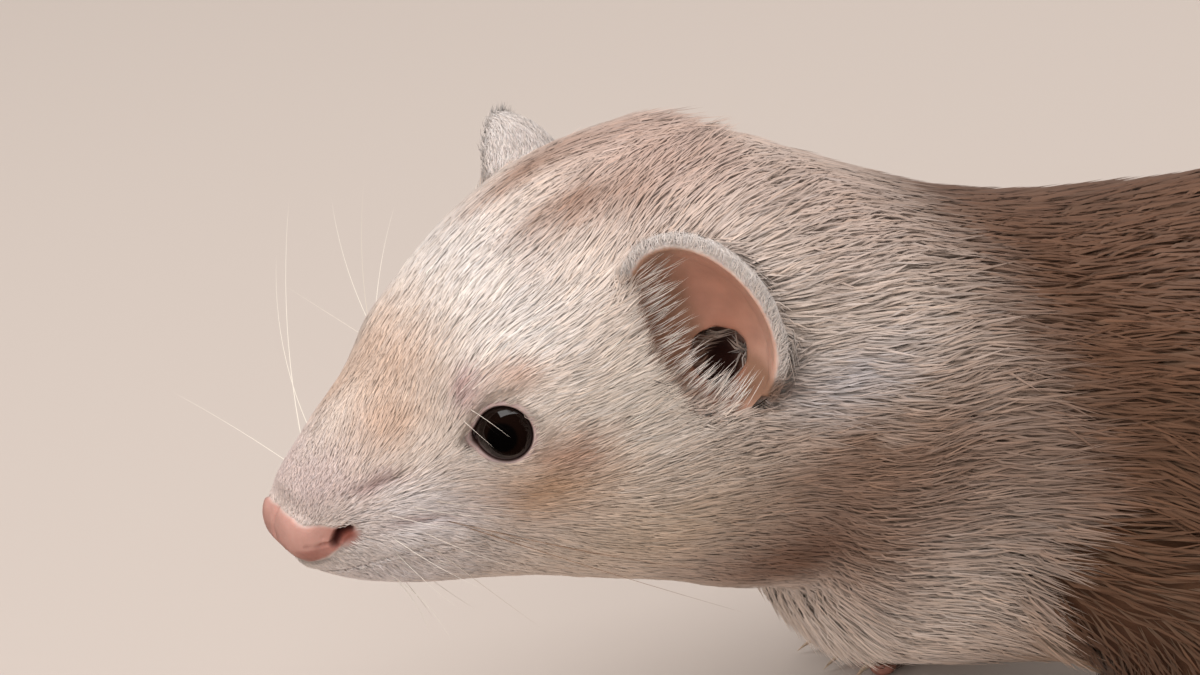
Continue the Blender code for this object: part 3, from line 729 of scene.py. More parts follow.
FLESH = [
    "head",
    "nose",
    "ear_left",
    "ear_right",
    "neck",
    "torso",
    "foreleg_left",
    "foreleg_right",
    "hindleg_left",
    "hindleg_right",
    "tail_root",
    "tail_tip",
]
KINDS = {"head": 0, "nose": 0, "ear": 1, "neck": 2, "torso": 3, "foreleg": 4, "hindleg": 5, "tail": 6}
HEAD_KIND, EAR_KIND, NECK_KIND, TORSO_KIND, FORE_KIND, HIND_KIND, TAIL_KIND = range(7)


def part_kinds(points):
    """Which part of the body each point belongs to, by the nearest solid."""
    bm = bmesh.new()
    owners = []
    for name in FLESH:
        before = len(bm.faces)
        bm.from_mesh(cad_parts[name].data)
        owners += [KINDS[name.split("_")[0]]] * (len(bm.faces) - before)
    tree = BVHTree.FromBMesh(bm)
    bm.free()
    return np.array([owners[tree.find_nearest(p)[2]] for p in points])


def inside_ear(points):
    """1 on the bare inside of an ear's bowl and 0 elsewhere, fading over the rim."""
    bowl = ear_bowl_place(points)
    radius = np.linalg.norm(bowl, axis=1)
    return (1 - fade(radius, 1.0, 1.05)) * (1 - fade(bowl[:, 2], -0.06, 0.12))


# The coat's depth over the skin in millimetres, at places along the head from nape to nose
FACE_DEPTHS = ((-60, -22, 0, 30, 50, 70, 85, 96), (3.2, 2.2, 1.6, 1.1, 0.75, 0.5, 0.3, 0.12))
EAR_DEPTH = 0.25
TORSO_DEPTH = 3.4
FUSING = 0.27 * MM  # how far the solids' copies grow so that they join over their gaps


def coat_depth(points, kinds):
    """How far the skin lies inside the solids' grown copies."""
    head, _ = in_head(points)
    under = points - np.array(UNDER_CHEST)
    face = np.interp(head[:, 0], *FACE_DEPTHS)
    face = face * (0.25 + 0.75 * fade(eye_reach(points), 1.2, 2.6))
    face = face * (0.3 + 0.7 * fade(np.abs(from_mouth(head)), 1.0, 4.0))
    face = face * (1 - 0.9 * nose_pad(head))
    tail = np.interp(under[:, 0], (-0.27, -0.25, -0.2, -0.13), (0.8, 2.0, 2.8, 3.0))
    limb = np.interp(under[:, 2], (0.004, 0.012, 0.03, 0.05), (0.35, 0.6, 1.5, 2.8))
    order = (HEAD_KIND, EAR_KIND, NECK_KIND, TORSO_KIND, TAIL_KIND)
    which = [kinds == kind for kind in order]
    depth = np.select(which, [face, EAR_DEPTH, face + 0.2, TORSO_DEPTH, tail], limb)
    return depth * (1 - 0.97 * inside_ear(points)) * MM + FUSING


def relief(points, kinds):
    """How far each point of the skin is raised for folds, grooves and swellings of the face."""
    head, _ = in_head(points)
    pad = nose_pad(head)
    face = kinds == HEAD_KIND
    raised = 0.5 * pad * np.exp(-(((head[:, 1] - 7) / 3.4) ** 2)) * fade(head[:, 0], 91, 96)
    raised -= 0.5 * pad * np.exp(-((head[:, 1] / 0.6) ** 2)) * fade(head[:, 0], 93, 96)
    raised -= 0.8 * (1 - fade(from_chain(head, NOSE_FOLD), 0.0, 1.0))
    raised -= 2.2 * (1 - fade(from_chain(head, NOSTRIL), 0.3, 1.7))
    wing = np.linalg.norm((head - np.array(NOSE_WING)) / np.array((2.6, 3.0, 2.4)), axis=1)
    raised -= 0.9 * (1 - fade(wing, 0.1, 1.1))
    raised -= 0.6 * (1 - fade(np.abs(from_mouth(head)), 0.1, 1.0)) * fade(head[:, 0], 66, 76)
    for parting in PARTINGS:
        raised -= 0.45 * (1 - fade(from_chain(head, parting), 0.2, 1.7))
    for centre, reach, height in SWELLINGS:
        away = (head - np.array(centre)) / np.array(reach)
        raised += height * np.exp(-(away**2).sum(axis=1))
    raised = np.where(face, raised, 0)
    bowl = np.linalg.norm(ear_bowl_place(points), axis=1)
    rim = np.exp(-(((bowl - 1.03) / 0.07) ** 2)) * (1 - fade(ear_bowl_place(points)[:, 2], 0.05, 0.4))
    ear = 0.55 * rim + 1.0 * inside_ear(points) * (1 - fade(from_chain(head, EAR_RIDGE), 0.3, 2.4))
    return (raised + np.where(kinds == EAR_KIND, ear, 0)) * UNIT


# Swellings of the face, raised along the skin: place, reach and height in hundredths of HEAD
SWELLINGS = [
    ((76, 19, -21), (11, 7, 4.0), 0.9),
    ((76, 19, -12), (9, 7, 3.0), 0.5),
    ((88, 11, -23), (4, 5, 3.5), 0.4),
    ((80, 10, -34), (10, 9, 3.5), 0.5),
    ((58, 21, 6), (3, 3, 5.0), 0.7),
    ((50, 31, -13), (8, 4, 2.5), 0.4),
    ((48, 26, 9.5), (8, 4, 1.8), 0.5),
]


def whole_body(grain):
    """A dense mesh over all flesh, from merged copies of the solids grown into each other."""
    whole = bmesh.new()
    for name in FLESH:
        one = node_copy(name, grow=FUSING)
        holder = bpy.data.meshes.new("holder")
        one.to_mesh(holder)
        one.free()
        whole.from_mesh(holder)
        bpy.data.meshes.remove(holder)
    rough = to_object("rough_skin", whole, skin_material())
    remesh = rough.modifiers.new("Remesh", "REMESH")
    remesh.mode = "VOXEL"
    remesh.voxel_size = grain
    smooth = rough.modifiers.new("Smooth", "SMOOTH")
    smooth.factor = 0.5
    smooth.iterations = 3
    return evaluated(rough)


def thinned(dense, triangles):
    """The dense mesh with fewer triangles on neck, body, legs and tail, and the face left as it is."""
    fine = bpy.data.objects.new("fine_skin", dense)
    bpy.context.scene.collection.objects.link(fine)
    points = points_of(dense)
    local, _ = in_head(points)
    low = fade(points[:, 2], 0.045, 0.035) * fade(local[:, 2], -60, -80)
    coarse = np.maximum(fade(local[:, 0], 5, -30), low)
    group = fine.vertex_groups.new(name="coarse")
    for step in range(1, 11):
        members = np.nonzero(np.round(coarse * 10) == step)[0].tolist()
        if members:
            group.add(members, step / 10, "REPLACE")
    thin = fine.modifiers.new("Decimate", "DECIMATE")
    thin.ratio = triangles / (2 * len(dense.polygons))
    thin.vertex_group = "coarse"
    thin.vertex_group_factor = 1.0
    return evaluated(fine)


def refined(mesh):
    """The mesh with smaller triangles at nose, mouth and partings, and smaller ones still at the nostrils."""
    bm = bmesh.new()
    bm.from_mesh(mesh)
    bmesh.ops.triangulate(bm, faces=bm.faces)
    for turn in range(2):
        points = np.array([v.co for v in bm.verts])
        head, _ = in_head(points)
        nostril = from_chain(head, NOSTRIL) < 3.2
        line = (np.abs(from_mouth(head)) < 2.6) & (head[:, 0] > 62)
        close = nostril | line | (head[:, 0] > 95) & (head[:, 1] < 2.5)
        if turn == 0:
            lids = (eye_reach(points) > 0.9) & (eye_reach(points) < 1.5)
            close = close | (head[:, 0] > 87) | (from_chain(head, PARTINGS[0]) < 3) | lids
            close = close | (from_chain(head, PARTINGS[1]) < 3)
        bm.edges.index_update()
        edges = [e for e in bm.edges if close[e.verts[0].index] and close[e.verts[1].index]]
        bmesh.ops.subdivide_edges(bm, edges=edges, cuts=1, use_grid_fill=True)
        bmesh.ops.triangulate(bm, faces=bm.faces)
        bm.verts.index_update()
    bm.to_mesh(mesh)
    bm.free()
    return mesh


class FERRET_OT_skin(bpy.types.Operator):
    """One skin over head, nose, ears, body, legs and tail, inside the solids by the coat's depth."""

    bl_idname = "ferret.skin"
    bl_label = "Skin"

    def execute(self, context):
        look = settings("ferret_skin")
        mesh = refined(thinned(whole_body(look.grain), look.triangles))
        shape_skin(mesh)
        mesh.name = "skin"
        skin = bpy.data.objects.new("skin", mesh)
        context.scene.collection.objects.link(skin)
        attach(skin, "root")
        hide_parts(*FLESH)
        return {"FINISHED"}


def opening_edge(angle):
    """The place on the ball of the opening's edge at an angle: across, above and out, in millimetres."""
    across = np.cos(angle) * OPENING[0] * drawn_out(angle)
    above = np.sin(angle) * OPENING[1]
    ball = settings("ferret_eye").radius / MM
    flat = np.minimum(np.hypot(across, above), 0.93 * ball)
    return across, above, np.sqrt(ball**2 - flat**2)


def seated(points):
    """The skin round each eye, drawn to just under the lids and behind the ball."""
    scales = [row[0] for row in LID_PROFILE[:7]]
    rises = [row[1] for row in LID_PROFILE[:7]]
    ball = settings("ferret_eye").radius
    for side in (1, -1):
        centre, faces, forward, up = (np.array(v) for v in eye_frame(side))
        away = points - centre
        across, above, out = away @ forward, away @ up, away @ faces
        angle = np.arctan2(above / OPENING[1], across / OPENING[0])
        reach = np.hypot(across / OPENING[0], above / OPENING[1]) / MM / drawn_out(angle)
        near = (out > 0.6 * MM) & (np.linalg.norm(away, axis=1) < 12 * MM)
        lid = (opening_edge(angle)[2] + np.interp(reach, scales, rises) - 0.1) * MM
        share = np.where(near & (reach > 1), 1 - fade(reach, 1.2, 1.42), 0)
        hidden = np.sqrt(np.maximum(ball**2 - across**2 - above**2, 0)) - 0.7 * MM
        moved = np.where(near & (reach <= 1), np.minimum(out, hidden), out + (lid - out) * share)
        points = points + faces * (moved - out)[:, None]
    return points


def shape_skin(mesh):
    """Draws the skin in by the coat's depth, raises its folds and paints it."""
    edges = edges_of(mesh)
    outer, normals = points_of(mesh), normals_of(mesh)
    kinds = part_kinds(outer)
    depth = coat_depth(outer, kinds)
    head, _ = in_head(outer)
    nape = np.where(kinds == HEAD_KIND, fade(head[:, 0], -6, -26), 0)
    body = np.maximum(kinds >= NECK_KIND, nape).astype(float)
    depth = np.where((kinds <= EAR_KIND) & (nape == 0), depth, spread_out(depth, edges, 12))
    points = outer - normals * depth[:, None]
    points = smooth_points(points, edges, 14, 0.5 * spread_out(body, edges, 3))
    points = smooth_points(points, edges, 2, np.full(len(points), 0.35))
    points = seated(points + normals * relief(outer, kinds)[:, None])
    mesh.vertices.foreach_set("co", points.astype(np.float32).ravel())
    note(mesh, "kind", kinds.astype(float))
    layer = mesh.attributes.new("outer", "FLOAT_VECTOR", "POINT")
    layer.data.foreach_set("vector", outer.astype(np.float32).ravel())
    # Painted shade: the skin under the coat is painted 8% darker than the hair's colour.
    colours, bare = bare_colours(outer, coat_colours(outer, kinds) * 0.92)
    paint(mesh, "skin_colour", np.clip(colours, 0, 1))
    note(mesh, "bare", bare)
    mesh.update()
    mesh.shade_smooth()


def bare_colours(points, colours):
    """Skin colours with the bare places laid in, and how bare each point is."""
    look = settings("ferret_skin")
    head, _ = in_head(points)
    bowl = ear_bowl_place(points)
    inside = inside_ear(points)
    # Painted shade: the inside of the ear darkens towards the depth of the bowl.
    deep = fade(-bowl[:, 2], 0.3, 0.95)
    ear = mix(look.ear_pink, look.painted_shade_in_ear, 0.8 * deep)
    # Painted shade: the front of the bowl, behind its front edge, is painted brown.
    ear = mix(ear, look.ear_inside_painted_shade, 0.85 * fade(head[:, 0], 0, 8))
    colours = mix(colours, ear, inside)
    colours = mix(colours, look.ear_inside_painted_shade, 0.9 * ear_opening_shade_mask(head) * (1 - fade(bowl[:, 0], 0.1, 0.7)))
    # Painted shade: round the canal, in it and in a pit in it, darkening to near black.
    canal = from_canal(head)
    colours = mix(colours, look.painted_shade_in_ear, 0.7 * (1 - fade(canal, 0.9, 1.5)))
    colours = mix(colours, look.canal, 1 - fade(canal, 0.5, 1.1))
    canal_pit_shade = 1 - fade(np.linalg.norm(head - np.array((-7.6, 36.0, -3.0)), axis=1), 0.5, 1.5)
    colours = mix(colours, look.canal, 0.8 * canal_pit_shade)
    rim = 1 - fade(eye_reach(points), 1.15, 1.5)
    colours = mix(colours, look.lid_pink, rim)
    # Lip skin along the mouth's line, darkened partly as painted shade in the crease.
    lips = (1 - fade(np.abs(from_mouth(head)), 0.3, 1.2)) * fade(head[:, 0], 64, 72)
    colours = mix(colours, look.lip_skin_and_shade, lips)
    pad = nose_pad(head)
    # Painted shade: the lower edge of the pad is tinted with the darker nostril skin.
    under = fade(head[:, 2], -19.6, -21) * fade(head[:, 1], 6, 9)
    colours = mix(colours, mix(look.nose_pink, look.nostril_skin_and_shade, 0.5 * under), pad)
    behind = np.exp(-((((head - np.array(NOSE_WING)) / np.array((3.4, 4.0, 3.2))) ** 2).sum(axis=1)))
    colours = mix(colours, look.nostril_skin_and_shade, np.minimum(1.1 * behind, 1))
    # Painted shade: the nostrils are painted near black inside.
    colours = mix(colours, look.nostril_painted_shade, 1 - fade(from_chain(head, NOSTRIL), 0.6, 1.9))
    # Painted shade: the fold beside the nostril is darkened.
    colours = mix(colours, look.nostril_skin_and_shade, 0.5 * (1 - fade(from_chain(head, NOSE_FOLD), 0.2, 0.9)))
    return colours, np.clip(inside + rim + lips + pad + behind, 0, 1)


def mix(first, second, share):
    """Colours between first and second; share is one number or one a row."""
    share = np.asarray(share)[..., None] if np.ndim(share) else share
    return np.asarray(first) * (1 - share) + np.asarray(second) * share


def value_noise(points, size, seed=0.0):
    """Smooth noise from -1 to 1 with features of the given size."""
    scaled = points / size + seed
    return np.array([noise.noise(Vector(p)) for p in scaled])


def coat_colours(points, kinds):
    """The coat's colour at each point: the same marks for skin and hair."""
    look = settings("ferret_coat")
    under = points - np.array(UNDER_CHEST)
    rows = np.tile(np.array(look.cream), (len(points), 1))
    spine = np.array(SPINE)
    order = np.argsort(spine[:, 0])
    height = under[:, 2] - np.interp(under[:, 0], spine[order, 0], spine[order, 2])
    rise = height / 0.03
    # Back and flanks painted dark, partly painted shade over the body; the belly is lighter.
    torso = mix(look.flank_sand_and_shade, look.back_brown_and_shade, fade(rise, 0.0, 0.9))
    torso = mix(torso, look.belly_sand, fade(-rise, 0.35, 0.95))
    # Painted shade: the shoulder below the neck is darkened with the lower neck's colour.
    shoulder = fade(under[:, 0], 0.03, 0.075) * fade(rise, 0.9, -0.4)
    torso = mix(torso, look.neck_painted_shade, 0.8 * shoulder)
    torso = mix(torso, look.leg_brown, 0.55 * fade(under[:, 0], -0.06, -0.11))
    legs = mix(look.leg_brown, look.paw_brown, fade(under[:, 2], 0.012, 0.006))
    legs = mix(legs, look.flank_sand_and_shade, 0.8 * fade(under[:, 2], 0.024, 0.045))
    tail = mix(look.leg_brown, look.tail_brown, fade(under[:, 0], -0.13, -0.2))
    tail = mix(torso, tail, fade(under[:, 0], -0.1, -0.14))
    body = np.where((kinds == TAIL_KIND)[:, None], tail, torso)
    limbs = (kinds == FORE_KIND) | (kinds == HIND_KIND)
    body = np.where(limbs[:, None], legs, body)
    head, _ = in_head(points)
    wavy = head + 2.2 * np.stack([value_noise(points, 4 * MM, s) for s in (3.1, 7.7, 12.3)], axis=1)
    for name, centre, reach, strength in HEAD_MARKS:
        away = (wavy - np.array(centre)) / np.array(reach)
        rows = mix(rows, getattr(look, name), strength * np.exp(-((away**2).sum(axis=1)) * 0.9))
    behind = fade(head[:, 0], -35, -85)
    mottled = mix(rows, body, np.where((kinds == HEAD_KIND) | (kinds == EAR_KIND), 0, behind))
    trunk = mix(mottled, body, fade(head[:, 0], -45, -75))
    mottled = np.where((kinds >= TORSO_KIND)[:, None], trunk, mottled)
    mottled = np.where(limbs[:, None], body, mottled)
    mottled = np.where((kinds == EAR_KIND)[:, None], mix(mottled, look.ear_white, 0.8), mottled)
    # Painted shade: hair in the front of the ear's opening takes the dark brown.
    mottled = mix(mottled, look.before_ear_painted_shade, 0.85 * ear_opening_shade_mask(head))
    shade = 1 + 0.10 * value_noise(points, 6 * MM, 21.0)
    return np.clip(mottled * shade[:, None], 0, 1)


# The coat


def body_lie(points, kinds):
    """The way the hair lies on the body, legs and tail."""
    under = points - np.array(UNDER_CHEST)
    spine = np.array(SPINE)
    steps = unit(np.diff(spine, axis=0))
    middles = (spine[1:] + spine[:-1]) / 2
    way = np.stack([np.interp(-under[:, 0], -middles[:, 0], steps[:, k]) for k in range(3)], axis=1)
    way[:, 2] -= 0.3 * (kinds == TORSO_KIND)
    down = np.array((-0.35, 0.0, -1.0))
    ahead = np.array((1.0, 0.0, -0.25))
    leg = mix(np.tile(down, (len(points), 1)), ahead, fade(under[:, 2], 0.016, 0.009))
    leg = mix(leg, way, fade(under[:, 2], 0.024, 0.048))
    legs = (kinds == FORE_KIND) | (kinds == HIND_KIND)
    return unit(np.where(legs[:, None], leg, way))


def head_lie(points):
    """The way the hair lies on the head and neck, drawn from the comb's strokes."""
    head, side = in_head(points)
    total = np.tile(np.array((-1.0, 0.0, -0.1)) * 0.01, (len(points), 1))
    for place, way in COMB:
        away = head - np.array(place)
        weight = np.exp(-((away**2).sum(axis=1)) / (2 * COMB_REACH**2))
        total += weight[:, None] * np.array(way)
    return head_to_world(unit(total), side)


def ear_lie(points):
    """The way the hair lies on the ears: from their roots out to the rims and back."""
    head, side = in_head(points)
    away = unit(head - (np.array(EAR_AT) - 26 * np.array(EAR_UP)))
    return head_to_world(unit(away + np.array((-0.35, 0.1, 0))), side)


def hair_lie(points, kinds):
    """The way the hair lies everywhere."""
    head, _ = in_head(points)
    share = fade(head[:, 0], -38, -75)
    share = np.where(kinds >= TORSO_KIND, np.maximum(share, 0.75), share)
    share = np.where(kinds <= EAR_KIND, 0, share)
    ways = unit(mix(head_lie(points), body_lie(points, kinds), share))
    return np.where((kinds == EAR_KIND)[:, None], ear_lie(points), ways)


def turned(ways, normals, angles):
    """Directions turned about the normals."""
    side = np.cross(normals, ways)
    return ways * np.cos(angles)[:, None] + side * np.sin(angles)[:, None]


class Ground:
    """The skin as triangles, for placing hair on it."""

    def __init__(self, skin):
        mesh = skin.data
        mesh.calc_loop_triangles()
        flat = np.zeros(len(mesh.loop_triangles) * 3, np.int32)
        mesh.loop_triangles.foreach_get("vertices", flat)
        self.corners = flat.reshape(-1, 3)
        self.points = points_of(mesh)
        self.normals = normals_of(mesh)
        kinds = np.zeros(len(mesh.vertices), np.float32)
        mesh.attributes["kind"].data.foreach_get("value", kinds)
        outer = np.zeros(len(mesh.vertices) * 3, np.float32)
        mesh.attributes["outer"].data.foreach_get("vector", outer)
        self.outer = outer.reshape(-1, 3).astype(float)
        self.tree = BVHTree.FromPolygons(self.points.tolist(), self.corners.tolist())
        a, b, c = (self.points[self.corners[:, k]] for k in range(3))
        self.areas = np.linalg.norm(np.cross(b - a, c - a), axis=1) / 2
        self.middles = self.outer[self.corners].mean(axis=1)
        self.face_kinds = kinds.round().astype(int)[self.corners[:, 0]]

    def scatter(self, weights, count, rng):
        """Random places on the skin by weight, with their normals, places on the solids and parts."""
        chance = self.areas * weights
        faces = rng.choice(len(chance), size=count, p=chance / chance.sum())
        u, v = rng.random(count), rng.random(count)
        flip = u + v > 1
        u, v = np.where(flip, 1 - u, u), np.where(flip, 1 - v, v)
        shares = np.stack([1 - u - v, u, v], axis=1)[:, :, None]
        corners = self.corners[faces]
        places, normals, outer = (
            (rows[corners] * shares).sum(axis=1) for rows in (self.points, self.normals, self.outer)
        )
        return places, unit(normals), outer, self.face_kinds[faces]


def laid_paths(ground, roots, normals, ways, lengths, shares, heights, leave):
    """Paths along the skin from each root at given heights, straight on where it falls away by leave."""
    ways = unit(ways - normals * (ways * normals).sum(axis=1, keepdims=True))
    rows = [roots + normals * heights[:, :1]]
    place, way, up = roots.copy(), ways.copy(), normals.copy()
    for k in range(1, len(shares)):
        place = place + way * (lengths * (shares[k] - shares[k - 1]))[:, None]
        found = [ground.tree.find_nearest(p) for p in place]
        near = np.array([f[0] for f in found])
        facing = np.array([f[1] for f in found])
        apart = np.array([f[3] for f in found])
        level = (facing * up).sum(axis=1)
        holds = (apart < leave) & (level > 0.3)
        place = np.where(holds[:, None], near, place)
        up = unit(np.where(holds[:, None], 0.5 * up + 0.5 * facing, up))
        way = unit(way - up * (way * up).sum(axis=1, keepdims=True))
        rows.append(place + up * heights[:, k : k + 1])
    return np.stack(rows, axis=1)


def gathered(paths, roots, rng, share, strength, reach):
    """Paths drawn together towards their tips, in locks round a share of them within reach."""
    chosen = rng.choice(len(roots), size=max(int(len(roots) * share), 1), replace=False)
    tree = KDTree(len(chosen))
    for index in chosen:
        tree.insert(roots[index], int(index))
    tree.balance()
    found = [tree.find(p) for p in roots]
    leaders = np.array([f[1] for f in found])
    close = np.array([f[2] for f in found]) < reach
    alike = ((paths[:, -1] - roots) * (paths[leaders, -1] - roots[leaders])).sum(axis=1) > 0
    strength = np.where(close & alike, strength, 0)
    steps = paths.shape[1] - 1
    for k in range(1, steps + 1):
        pull = strength * (k / steps) ** 1.5
        paths[:, k] += (paths[leaders, k] - paths[:, k]) * pull[:, None]
    return paths


def bake_places(points, kinds):
    """Each point's place on an unwrap of the skin: round the part and along it, one strip for each part."""
    head, side = in_head(points)
    under = points - np.array(UNDER_CHEST)
    spine = np.array(SPINE)
    order = np.argsort(spine[:, 0])
    middle_y = np.interp(under[:, 0], spine[order, 0], spine[order, 1])
    middle_z = np.interp(under[:, 0], spine[order, 0], spine[order, 2])
    body_round = np.arctan2(under[:, 1] - middle_y, under[:, 2] - middle_z) / (2 * math.pi) + 0.5
    head_round = np.arctan2(head[:, 1] * side, head[:, 2] + 18) / (2 * math.pi) + 0.5
    places = np.zeros((len(points), 2))

    def strip(which, around, along, low_u, high_u, low_v, high_v):
        places[which, 0] = low_u + (high_u - low_u) * np.clip(around[which], 0, 1)
        places[which, 1] = low_v + (high_v - low_v) * np.clip(along[which], 0, 1)

    strip(kinds == HEAD_KIND, head_round, (head[:, 0] + 40) / 145, 0.01, 0.64, 0.42, 0.99)
    bowl = ear_bowl_place(points)
    ear = kinds == EAR_KIND
    strip(ear & (side > 0), bowl[:, 0] / 2.4 + 0.5, bowl[:, 1] / 2.4 + 0.5, 0.67, 0.82, 0.85, 0.99)
    strip(ear & (side < 0), bowl[:, 0] / 2.4 + 0.5, bowl[:, 1] / 2.4 + 0.5, 0.84, 0.99, 0.85, 0.99)
    strip(kinds == NECK_KIND, body_round, (under[:, 0] - 0.03) / 0.09, 0.01, 0.64, 0.20, 0.40)
    strip(kinds == TORSO_KIND, body_round, (under[:, 0] + 0.12) / 0.18, 0.01, 0.64, 0.01, 0.18)
    strip(kinds == TAIL_KIND, body_round, (under[:, 0] + 0.28) / 0.17, 0.67, 0.99, 0.62, 0.82)
    for number, (kind, hand) in enumerate(((4, 1), (4, -1), (5, 1), (5, -1))):
        x, y, *_ = PAWS["foreleg" if kind == 4 else "hindleg"]
        around = np.arctan2(under[:, 1] - y * hand, under[:, 0] - x + 0.008) / (2 * math.pi) + 0.5
        which = (kinds == kind) & (under[:, 1] * hand > 0)
        strip(which, around, under[:, 2] / 0.06, 0.67, 0.99, 0.01 + 0.15 * number, 0.14 + 0.15 * number)
    return places


PATCH = 0.003  # width of a tuft's patch on the bake map
SOFTNESS = 0.74  # how far a tuft's shading follows the skin below it, for light that soaks through fine hair


def spikes(name, paths, normals, radii, colours, places, material):
    """One mesh of closed three-sided tufts along paths, pointed at root and tip."""
    count, rows = paths.shape[:2]
    rings = rows - 2
    per_tuft = 3 * rings + 2
    points = np.zeros((count, per_tuft, 3))
    shades = np.zeros((count, per_tuft, 3))
    patches = np.tile(places[:, None], (1, per_tuft, 1))
    points[:, 0], points[:, -1] = paths[:, 0], paths[:, -1]
    shades[:, 0], shades[:, -1] = colours[:, 0], colours[:, -1]
    patches[:, 0] += PATCH * np.array((0, -0.5))
    patches[:, -1] += PATCH * np.array((0, 0.5))
    facing = np.tile(normals[:, None], (1, per_tuft, 1))
    for k in range(rings):
        along = unit(paths[:, k + 2] - paths[:, k])
        across = unit(np.cross(along, normals))
        over = np.cross(across, along)
        for j, angle in enumerate((90, 330, 210)):
            c, s = math.cos(math.radians(angle)), math.sin(math.radians(angle))
            offset = (across * c + over * s * 0.75) * radii[:, k : k + 1]
            points[:, 3 * k + j + 1] = paths[:, k + 1] + offset
            facing[:, 3 * k + j + 1] = (1 - SOFTNESS) * unit(offset) + SOFTNESS * normals
            shades[:, 3 * k + j + 1] = colours[:, k + 1]
            patches[:, 3 * k + j + 1] += PATCH * np.array(((j - 1) / 2, (k + 1) / (rings + 1) - 0.5))
    faces = [(0, 1 + (j + 1) % 3, 1 + j) for j in range(3)]
    for k in range(rings - 1):
        for j in range(3):
            a, b = 1 + 3 * k + j, 1 + 3 * k + (j + 1) % 3
            faces += [(a, b, b + 3), (a, b + 3, a + 3)]
    last = 1 + 3 * (rings - 1)
    faces += [(last + j, last + (j + 1) % 3, per_tuft - 1) for j in range(3)]
    starts = np.arange(count)[:, None, None] * per_tuft
    corners = (starts + np.array(faces)[None]).reshape(-1)
    mesh = bpy.data.meshes.new(name)
    mesh.vertices.add(count * per_tuft)
    mesh.vertices.foreach_set("co", points.astype(np.float32).ravel())
    mesh.loops.add(len(corners))
    mesh.loops.foreach_set("vertex_index", corners.astype(np.int32))
    mesh.polygons.add(len(corners) // 3)
    mesh.polygons.foreach_set("loop_start", np.arange(0, len(corners), 3, dtype=np.int32))
    mesh.update(calc_edges=True)
    paint(mesh, "hair_colour", np.clip(shades.reshape(-1, 3), 0, 1))
    unwrap = mesh.uv_layers.new(name="OFBake")
    unwrap.data.foreach_set("uv", patches.reshape(-1, 2)[corners].astype(np.float32).ravel())
    mesh.materials.append(material)
    mesh.shade_smooth()
    mesh.normals_split_custom_set_from_vertices(unit(facing.reshape(-1, 3)).tolist())
    obj = bpy.data.objects.new(name, mesh)
    bpy.context.scene.collection.objects.link(obj)
    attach(obj, "root")
    return obj


def strand_colours(base, under, root_painted_shade, shares, rng, spread):
    """Colours at each ring of a tuft, from its root, darkened as painted shade among the hair, to its tip,
    with a chance tint for each tuft.
    """
    count = len(base)
    tint = np.exp(rng.normal(0, spread, count))[:, None]
    warm = 1 + rng.normal(0, 0.02, (count, 1)) * np.array((1, 0, -1))
    base = base * tint * warm
    rows = []
    for t in shares:
        # Painted shade: each root is darkened by root_painted_shade, and the colour grows slightly lighter to
        # the tip.
        root = mix(base * root_painted_shade, under, 0.4)
        rows.append(mix(root, base * (0.98 + 0.08 * t), min(1.0, t * 2.0)))
    return np.stack(rows, axis=1)


def bare_places(points):
    """True where no hair grows: eyes, nose, nostrils, lips, partings, ear's inside and canal, and soles."""
    head, _ = in_head(points)
    canal = from_canal(head) < 1.0
    bare = (eye_reach(points) < 1.12) | (nose_pad(head) > 0.5) | (from_chain(head, NOSTRIL) < 1.5) | canal
    bare |= (np.abs(from_mouth(head)) < 0.4) | (inside_ear(points) > 0.8) | (points[:, 2] < 0.0009)
    return bare


def thinning(head):
    """A share of the hair that is left at the partings and beside the nostrils."""
    left = np.ones(len(head))
    for parting in PARTINGS:
        left *= 0.15 + 0.85 * fade(from_chain(head, parting), 0.3, 1.3)
    beside = np.linalg.norm((head - np.array(NOSE_WING)) / np.array((3.0, 3.4, 2.8)), axis=1)
    return left * (0.15 + 0.85 * fade(beside, 0.6, 1.3)) * (1 - 0.85 * ear_opening_shade_mask(head))


def face_growth(points):
    """Length and radius of the hair on the head, and how thickly it grows."""
    look = settings("ferret_coat")
    head, _ = in_head(points)
    muzzle, face, nape = look.muzzle_length, look.face_length, look.nape_length
    along = (-30, 0, 25, 45, 62, 78, 88, 94, 98)
    hair = (nape * 1.15, nape, face * 1.2, face, face * 0.75, muzzle, muzzle * 0.6, muzzle * 0.35, 0.8 * MM)
    lengths = np.interp(head[:, 0], along, hair)
    lengths *= 1 - 0.4 * fade(head[:, 2], -14, -4) * fade(head[:, 0], 80, 90)
    radii = np.interp(head[:, 0], along, (0.15, 0.135, 0.115, 0.1, 0.088, 0.075, 0.062, 0.05, 0.045)) * MM
    thick = np.interp(head[:, 0], along, (4.0, 5.0, 7.0, 9.0, 11, 14, 18, 26, 28))
    near = 1 - fade(eye_reach(points), 1.2, 2.4)
    lengths *= 1 - 0.45 * near
    radii *= 1 - 0.25 * near
    thick *= 1 + 0.8 * near
    gap = np.abs(from_mouth(head))
    behind, apart = behind_ear_edge(head)
    lengths *= np.interp(gap, (0.5, 3.5), (0.7, 1.0)) * (1 - 0.5 * fade(behind, -9, -1) * (apart < 14))
    return lengths, radii, thick * thinning(head)


def neck_growth(points):
    """Length and radius of the hair on the neck, and how thickly it grows."""
    look = settings("ferret_coat")
    head, _ = in_head(points)
    back = fade(head[:, 0], -25, -110)
    start = look.nape_length * 1.15
    return start + (look.body_length * 0.85 - start) * back, (0.155 + 0.1 * back) * MM, 2.2 - 1.0 * back


